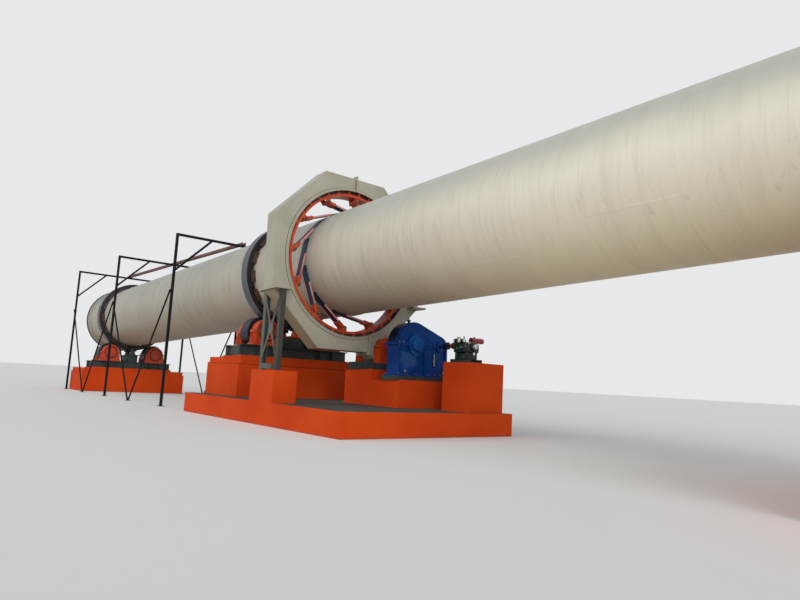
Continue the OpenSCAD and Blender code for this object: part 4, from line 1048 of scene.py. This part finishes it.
class KILN_OT_gearbox_fittings(Operator):
    """Bolts, breather, oil gauge and drain plug of the gearbox"""
    bl_idname = "kiln.gearbox_fittings"
    bl_label = "Gearbox fittings"

    def case_bolts(self, bolts, x0, x1, y0, z0):
        """Bolts along the case's joint and its feet."""
        down, flange, foot = (0, 0, -1), 0.02, -0.4884
        slow_room, fast_room = 0.21, 0.12
        for x in (x0 + 0.028, x1 - 0.028):
            y = -0.365
            while y < 0.74:
                if abs(y) > slow_room and abs(y - INPUT_STEP) > fast_room:
                    bolt(bolts, facing((x, y0 + y, z0 + flange), UP), 0.011, 0.012)
                    bolt(bolts, facing((x, y0 + y, z0 - flange), down), 0.011, 0.010, False)
                y += 0.085
            for y in (-0.36, -0.2, 0.0, 0.28, 0.42, 0.55, 0.71):
                bolt(bolts, facing((x - 0.004, y0 + y, z0 + foot), UP), 0.013, 0.014)

    def cap_bolts(self, bolts, x0, x1, y0, z0):
        """Bolts round the bearing caps of the slow and the fast shaft."""
        near, far = (1, 0, 0), (-1, 0, 0)
        for dy, dz in bolt_circle(8):
            for x, out, r in ((x1 + 0.03, near, 0.09), (x0 - 0.02, far, 0.092)):
                bolt(bolts, facing((x, y0 + r * dy, z0 + r * dz), out), 0.008, stud=False)
        for dy, dz in bolt_circle(6):
            y, z = y0 + INPUT_STEP + 0.07 * dy, z0 + 0.07 * dz
            for x, out in ((x1 - 0.015, near), (x0 + 0.015, far)):
                bolt(bolts, facing((x, y, z), out), 0.007, stud=False)

    def execute(self, context):
        x0, x1 = GEARBOX
        y0, z0 = PINION
        bolts, blue, gauge, fittings = bmesh.new(), bmesh.new(), bmesh.new(), bmesh.new()
        self.case_bolts(bolts, x0, x1, y0, z0)
        self.cap_bolts(bolts, x0, x1, y0, z0)
        piece("gearbox_bolts", bolts, "bolt", "root")
        case_x = x1 - 0.045
        ring(blue, facing((x1 + 0.0295, y0, z0), (1, 0, 0)), 0.066, 0.004, 36, 6)
        block(blue, on_kiln(case_x + 0.002, y0 + 0.30, z0 + 0.12), (0.008, 0.11, 0.06), 0.002)
        for z in (-0.34, -0.12):
            holder = on_kiln(case_x + 0.014, y0 + 0.40, z0 + z)
            block(blue, holder, (0.032, 0.024, 0.024), 0.003)
        piece("gearbox_trim", blue, "gearbox", "root")
        drum_of(gauge, facing((case_x + 0.018, y0 + 0.40, z0 - 0.33), UP), 0.008, 0.20, 14)
        piece("oil_gauge", gauge, "glass", "root")
        for y, radius, height in ((-0.22, 0.016, 0.02), (0.62, 0.014, 0.018)):
            bolt(fittings, facing((case_x, y0 + y, z0 - 0.44), (1, 0, 0)), radius, height, False)
        top = facing(((x0 + x1) / 2, y0 - 0.04, z0 + 0.416), UP)
        drum_of(fittings, top, 0.012, 0.022, 14)
        drum_of(fittings, raised(top, 0.018), 0.024, 0.012, 18, 0.015)
        piece("gearbox_plugs", fittings, "bright", "root")
        return {"FINISHED"}


class KILN_OT_engine_body(Operator):
    """Auxiliary engine: crankcase, finned head, fan housing, flywheel and the skid"""
    bl_idname = "kiln.engine_body"
    bl_label = "Engine body"

    def box(self, bm, low, high, bevel):
        """A bevelled block between two corners."""
        low, high = Vector(low), Vector(high)
        block(bm, Matrix.Translation((low + high) / 2), high - low, bevel)

    def body(self, bm):
        x, y, z = ENGINE_BLOCK
        self.box(bm, (x, y - 0.130, z), (x + 0.330, y + 0.130, z + 0.138), 0.016)
        for lug in (0.030, 0.260):
            self.box(bm, (x + lug, y - 0.120, ENGINE_SKID[1] - 0.001),
                     (x + lug + 0.040, y + 0.120, z + 0.01), 0.006)
        self.box(bm, (x + 0.024, y - 0.146, z + 0.130), (x + 0.130, y + 0.011, z + 0.222), 0.012)
        for k in range(6):
            fin = z + 0.140 + 0.0125 * k
            self.box(bm, (x + 0.012, y - 0.160, fin), (x + 0.142, y + 0.025, fin + 0.005), 0.0015)
        self.box(bm, (x + 0.150, y - 0.110, z + 0.134), (x + 0.215, y + 0.010, z + 0.168), 0.008)
        tube(bm, ((x + 0.120, y - 0.060, z + 0.190), (x + 0.170, y - 0.070, z + 0.185),
                  (x + 0.200, y - 0.080, z + 0.150)), 0.012, 10)
        shaft = z + 0.1125
        for spot, radius, depth, segments, end_radius in (
                ((x + 0.329, y, ENGINE_FAN[2]), 0.078, 0.030, 36, 0.070),
                ((x - 0.036, y, shaft), 0.075, 0.040, 40, 0.075),
                ((x - 0.090, y, shaft), 0.020, 0.060, 20, 0.020)):
            along = Matrix.Translation(spot) @ Matrix.Rotation(QUARTER, 4, "Y")
            drum_of(bm, along, radius, depth, segments, end_radius)

    def skid(self, bm):
        """Two channel rails under the engine."""
        x, y, _ = ENGINE_BLOCK
        bottom, top = ENGINE_SKID
        start, end = x - 0.060, x + 0.400
        for side in SIDES:
            rail = y + side * 0.109
            web = rail + side * 0.017
            self.box(bm, (start, web - 0.008, bottom), (end, web + 0.008, top), 0.002)
            for low in (bottom, top - 0.010):
                self.box(bm, (start, rail - 0.025, low), (end, rail + 0.025, low + 0.010), 0.002)

    def execute(self, context):
        body, skid = bmesh.new(), bmesh.new()
        self.body(body)
        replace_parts(piece("engine_body", body, "engine", "root"), "engine")
        self.skid(skid)
        piece("engine_skid", skid, "frame", "root")
        return {"FINISHED"}


class KILN_OT_engine_fittings(Operator):
    """Fan guard, air cleaner, silencer, filter and fuel pipe of the auxiliary engine"""
    bl_idname = "kiln.engine_fittings"
    bl_label = "Engine fittings"

    def fan(self, bright, dark):
        """The fan's hub and guard with the bolts round it."""
        face = Matrix.Translation(ENGINE_FAN) @ Matrix.Rotation(QUARTER, 4, "Y")
        drum_of(bright, raised(face, -0.020), 0.054, 0.028, 36, 0.050)
        drum_of(bright, raised(face, 0.007), 0.050, 0.010, 36, 0.026)
        for radius in (0.047, 0.036, 0.025):
            ring(dark, raised(face, 0.010), radius, 0.0025, 36, 6)
        for k in range(8):
            a = math.pi / 4 * k
            spot = (0.063 * math.cos(a), 0.063 * math.sin(a), -0.018)
            bolt(dark, face @ Matrix.Translation(spot), 0.005, stud=False)

    def head_fittings(self, bright, dark):
        """Air cleaner, silencer and fuel filter with their pipes."""
        cleaner = Matrix.Translation((3.645, 1.074, 1.452))
        drum_of(bright, cleaner, 0.030, 0.074, 24)
        drum_of(bright, raised(cleaner, 0.073), 0.036, 0.010, 24, 0.030)
        tube(dark, ((3.645, 1.074, 1.460), (3.645, 1.074, 1.424), (3.645, 1.104, 1.410)), 0.015, 12)
        silencer = Matrix.Translation((3.745, 1.088, 1.456))
        drum_of(bright, silencer, 0.025, 0.056, 24)
        tube(dark, ((3.745, 1.088, 1.462), (3.745, 1.088, 1.430), (3.745, 1.118, 1.412)), 0.013, 12)
        drum_of(dark, raised(silencer, 0.060), 0.010, 0.028, 14)
        tube(dark, ((3.725, 1.400, 1.456), (3.725, 1.400, 1.395), (3.725, 1.310, 1.350)), 0.004, 8)
        drum_of(bright, Matrix.Translation((3.862, 1.205, 1.250)), 0.017, 0.040, 18)
        tube(dark, ((3.862, 1.205, 1.288), (3.862, 1.205, 1.306), (3.835, 1.205, 1.310)), 0.006, 8)

    def small_parts(self, bright, dark):
        """Foot bolts, the tank's straps, side covers and the hand pipe."""
        for x in (3.50, 3.62, 3.76, 3.88):
            for y in (1.085, 1.331):
                bolt(dark, Matrix.Translation((x, y, ENGINE_SKID[0] + 0.009)), 0.008, 0.010)
        for y in (1.318, 1.472):
            ring(dark, facing((3.725, y, 1.4945), (0, 1, 0), LEVEL), 0.0455, 0.0025, 32, 6)
        for spot, radius in (((3.700, 1.078, 1.372), 0.014), ((3.610, 1.078, 1.352), 0.012),
                             ((3.800, 1.078, 1.400), 0.012)):
            drum_of(bright, raised(facing(spot, (0, -1, 0), LEVEL), -0.006), radius, 0.022, 16)
        tube(bright, ((3.790, 1.085, 1.425), (3.835, 1.090, 1.450), (3.850, 1.140, 1.446),
                      (3.836, 1.190, 1.424)), 0.007, 10)

    def execute(self, context):
        bright, dark = bmesh.new(), bmesh.new()
        self.fan(bright, dark)
        self.head_fittings(bright, dark)
        self.small_parts(bright, dark)
        piece("engine_bright_parts", bright, "bright", "root")
        piece("engine_dark_parts", dark, "seal", "root")
        return {"FINISHED"}


class KILN_OT_stage(Operator):
    """Plain floor, soft light and the camera"""
    bl_idname = "kiln.stage"
    bl_label = "Stage"

    def sun(self, context, name, strength, direction, spread):
        """A distant lamp that shines along a direction, softened over an angle in degrees."""
        lamp = bpy.data.lights.new(name, "SUN")
        lamp.energy = strength
        lamp.angle = math.radians(spread)
        obj = bpy.data.objects.new(name, lamp)
        obj.rotation_mode = "QUATERNION"
        obj.rotation_quaternion = Vector(direction).to_track_quat("-Z", "Y")
        context.scene.collection.objects.link(obj)

    def floor(self, context):
        """A wide plain sheet that takes the kiln's shadow."""
        bm = bmesh.new()
        bmesh.ops.create_grid(bm, x_segments=1, y_segments=1, size=220.0)
        mesh = bpy.data.meshes.new("stage_floor")
        bm.to_mesh(mesh)
        bm.free()
        mesh.materials.append(plain_floor())
        floor = bpy.data.objects.new("stage_floor", mesh)
        context.scene.collection.objects.link(floor)

    def sky(self, context, strength):
        """Even light from all round, and a pale backdrop where it is looked at."""
        world = bpy.data.worlds.new("stage_sky")
        context.scene.world = world
        world.use_nodes = True
        tree = world.node_tree
        tree.nodes.clear()
        rays, light, backdrop, choice, output = (tree.nodes.new(kind) for kind in (
            "ShaderNodeLightPath", "ShaderNodeBackground", "ShaderNodeBackground",
            "ShaderNodeMixShader", "ShaderNodeOutputWorld"))
        rays = rays.outputs
        seen = rays["Is Camera Ray"]
        for kind in ("Is Glossy Ray", "Is Transmission Ray"):
            either = tree.nodes.new("ShaderNodeMath")
            either.operation = "MAXIMUM"
            tree.links.new(seen, either.inputs[0])
            tree.links.new(rays[kind], either.inputs[1])
            seen = either.outputs[0]
        light.inputs["Color"].default_value = (0.95, 0.98, 1.0, 1.0)
        light.inputs["Strength"].default_value = strength
        backdrop.inputs["Color"].default_value = (0.80, 0.81, 0.82, 1.0)
        for source, target in ((seen, choice.inputs[0]), (light.outputs[0], choice.inputs[1]),
                               (backdrop.outputs[0], choice.inputs[2]),
                               (choice.outputs[0], output.inputs[0])):
            tree.links.new(source, target)

    def camera(self, context, stage):
        """The camera, placed and turned as the settings say."""
        camera = bpy.data.objects.new("camera", bpy.data.cameras.new("camera"))
        camera.data.lens = stage.lens
        camera.data.sensor_width = 36.0
        camera.data.clip_end = 500.0
        heading, tilt, roll = stage.camera_turn
        ahead = Vector((-math.cos(heading) * math.cos(tilt),
                        math.sin(heading) * math.cos(tilt), math.sin(tilt)))
        level = Vector((math.sin(heading), math.cos(heading), 0))
        above = level.cross(ahead)
        right = math.cos(roll) * level - math.sin(roll) * above
        up = math.sin(roll) * level + math.cos(roll) * above
        turn = Matrix((right, up, -ahead)).transposed().to_4x4()
        camera.matrix_world = Matrix.Translation(stage.camera_place) @ turn
        context.scene.collection.objects.link(camera)
        context.scene.camera = camera

    def execute(self, context):
        stage = context.scene.kiln_stage
        self.floor(context)
        self.sky(context, stage.sky)
        self.sun(context, "key_light", stage.key_light, (0.25, 0.9, -0.55), 50)
        self.sun(context, "fill_light", stage.fill_light, (-1.0, 0.4, -0.12), 60)
        self.camera(context, stage)
        context.scene.view_settings.view_transform = "Standard"
        return {"FINISHED"}


PIECES = (KILN_OT_finishes, KILN_OT_drum_welds, KILN_OT_spring_fittings, KILN_OT_gear_ribs,
          KILN_OT_bearing_fittings, KILN_OT_thrust_stands, KILN_OT_frame_bolts,
          KILN_OT_cover_bolts, KILN_OT_cover_rims, KILN_OT_gearbox_fittings,
          KILN_OT_engine_body, KILN_OT_engine_fittings)


class KILN_PT_sidebar(Panel):
    """Settings of the kiln and its groups of pieces"""
    bl_idname = "KILN_PT_sidebar"
    bl_label = "Rotary kiln"
    bl_space_type = "VIEW_3D"
    bl_region_type = "UI"
    bl_category = "Kiln"

    def draw(self, context):
        for group in ("kiln_sizes", "kiln_colours", "kiln_stage"):
            box = self.layout.box()
            for name in getattr(context.scene, group).__annotations__:
                box.prop(getattr(context.scene, group), name)
        for operator in (*PIECES, KILN_OT_stage):
            self.layout.operator(operator.bl_idname)


CLASSES = (KilnSizes, KilnColours, KilnStage, *PIECES, KILN_OT_stage, KILN_PT_sidebar)


def register():
    for cls in CLASSES:
        bpy.utils.register_class(cls)
    bpy.types.Scene.kiln_sizes = PointerProperty(type=KilnSizes)
    bpy.types.Scene.kiln_colours = PointerProperty(type=KilnColours)
    bpy.types.Scene.kiln_stage = PointerProperty(type=KilnStage)


def unregister():
    del bpy.types.Scene.kiln_stage
    del bpy.types.Scene.kiln_colours
    del bpy.types.Scene.kiln_sizes
    for cls in reversed(CLASSES):
        bpy.utils.unregister_class(cls)


def main():
    register()
    for operator in PIECES:
        getattr(bpy.ops.kiln, operator.bl_idname.split(".")[1])()
    bpy.ops.kiln.stage()


if __name__ == "__main__":
    main()
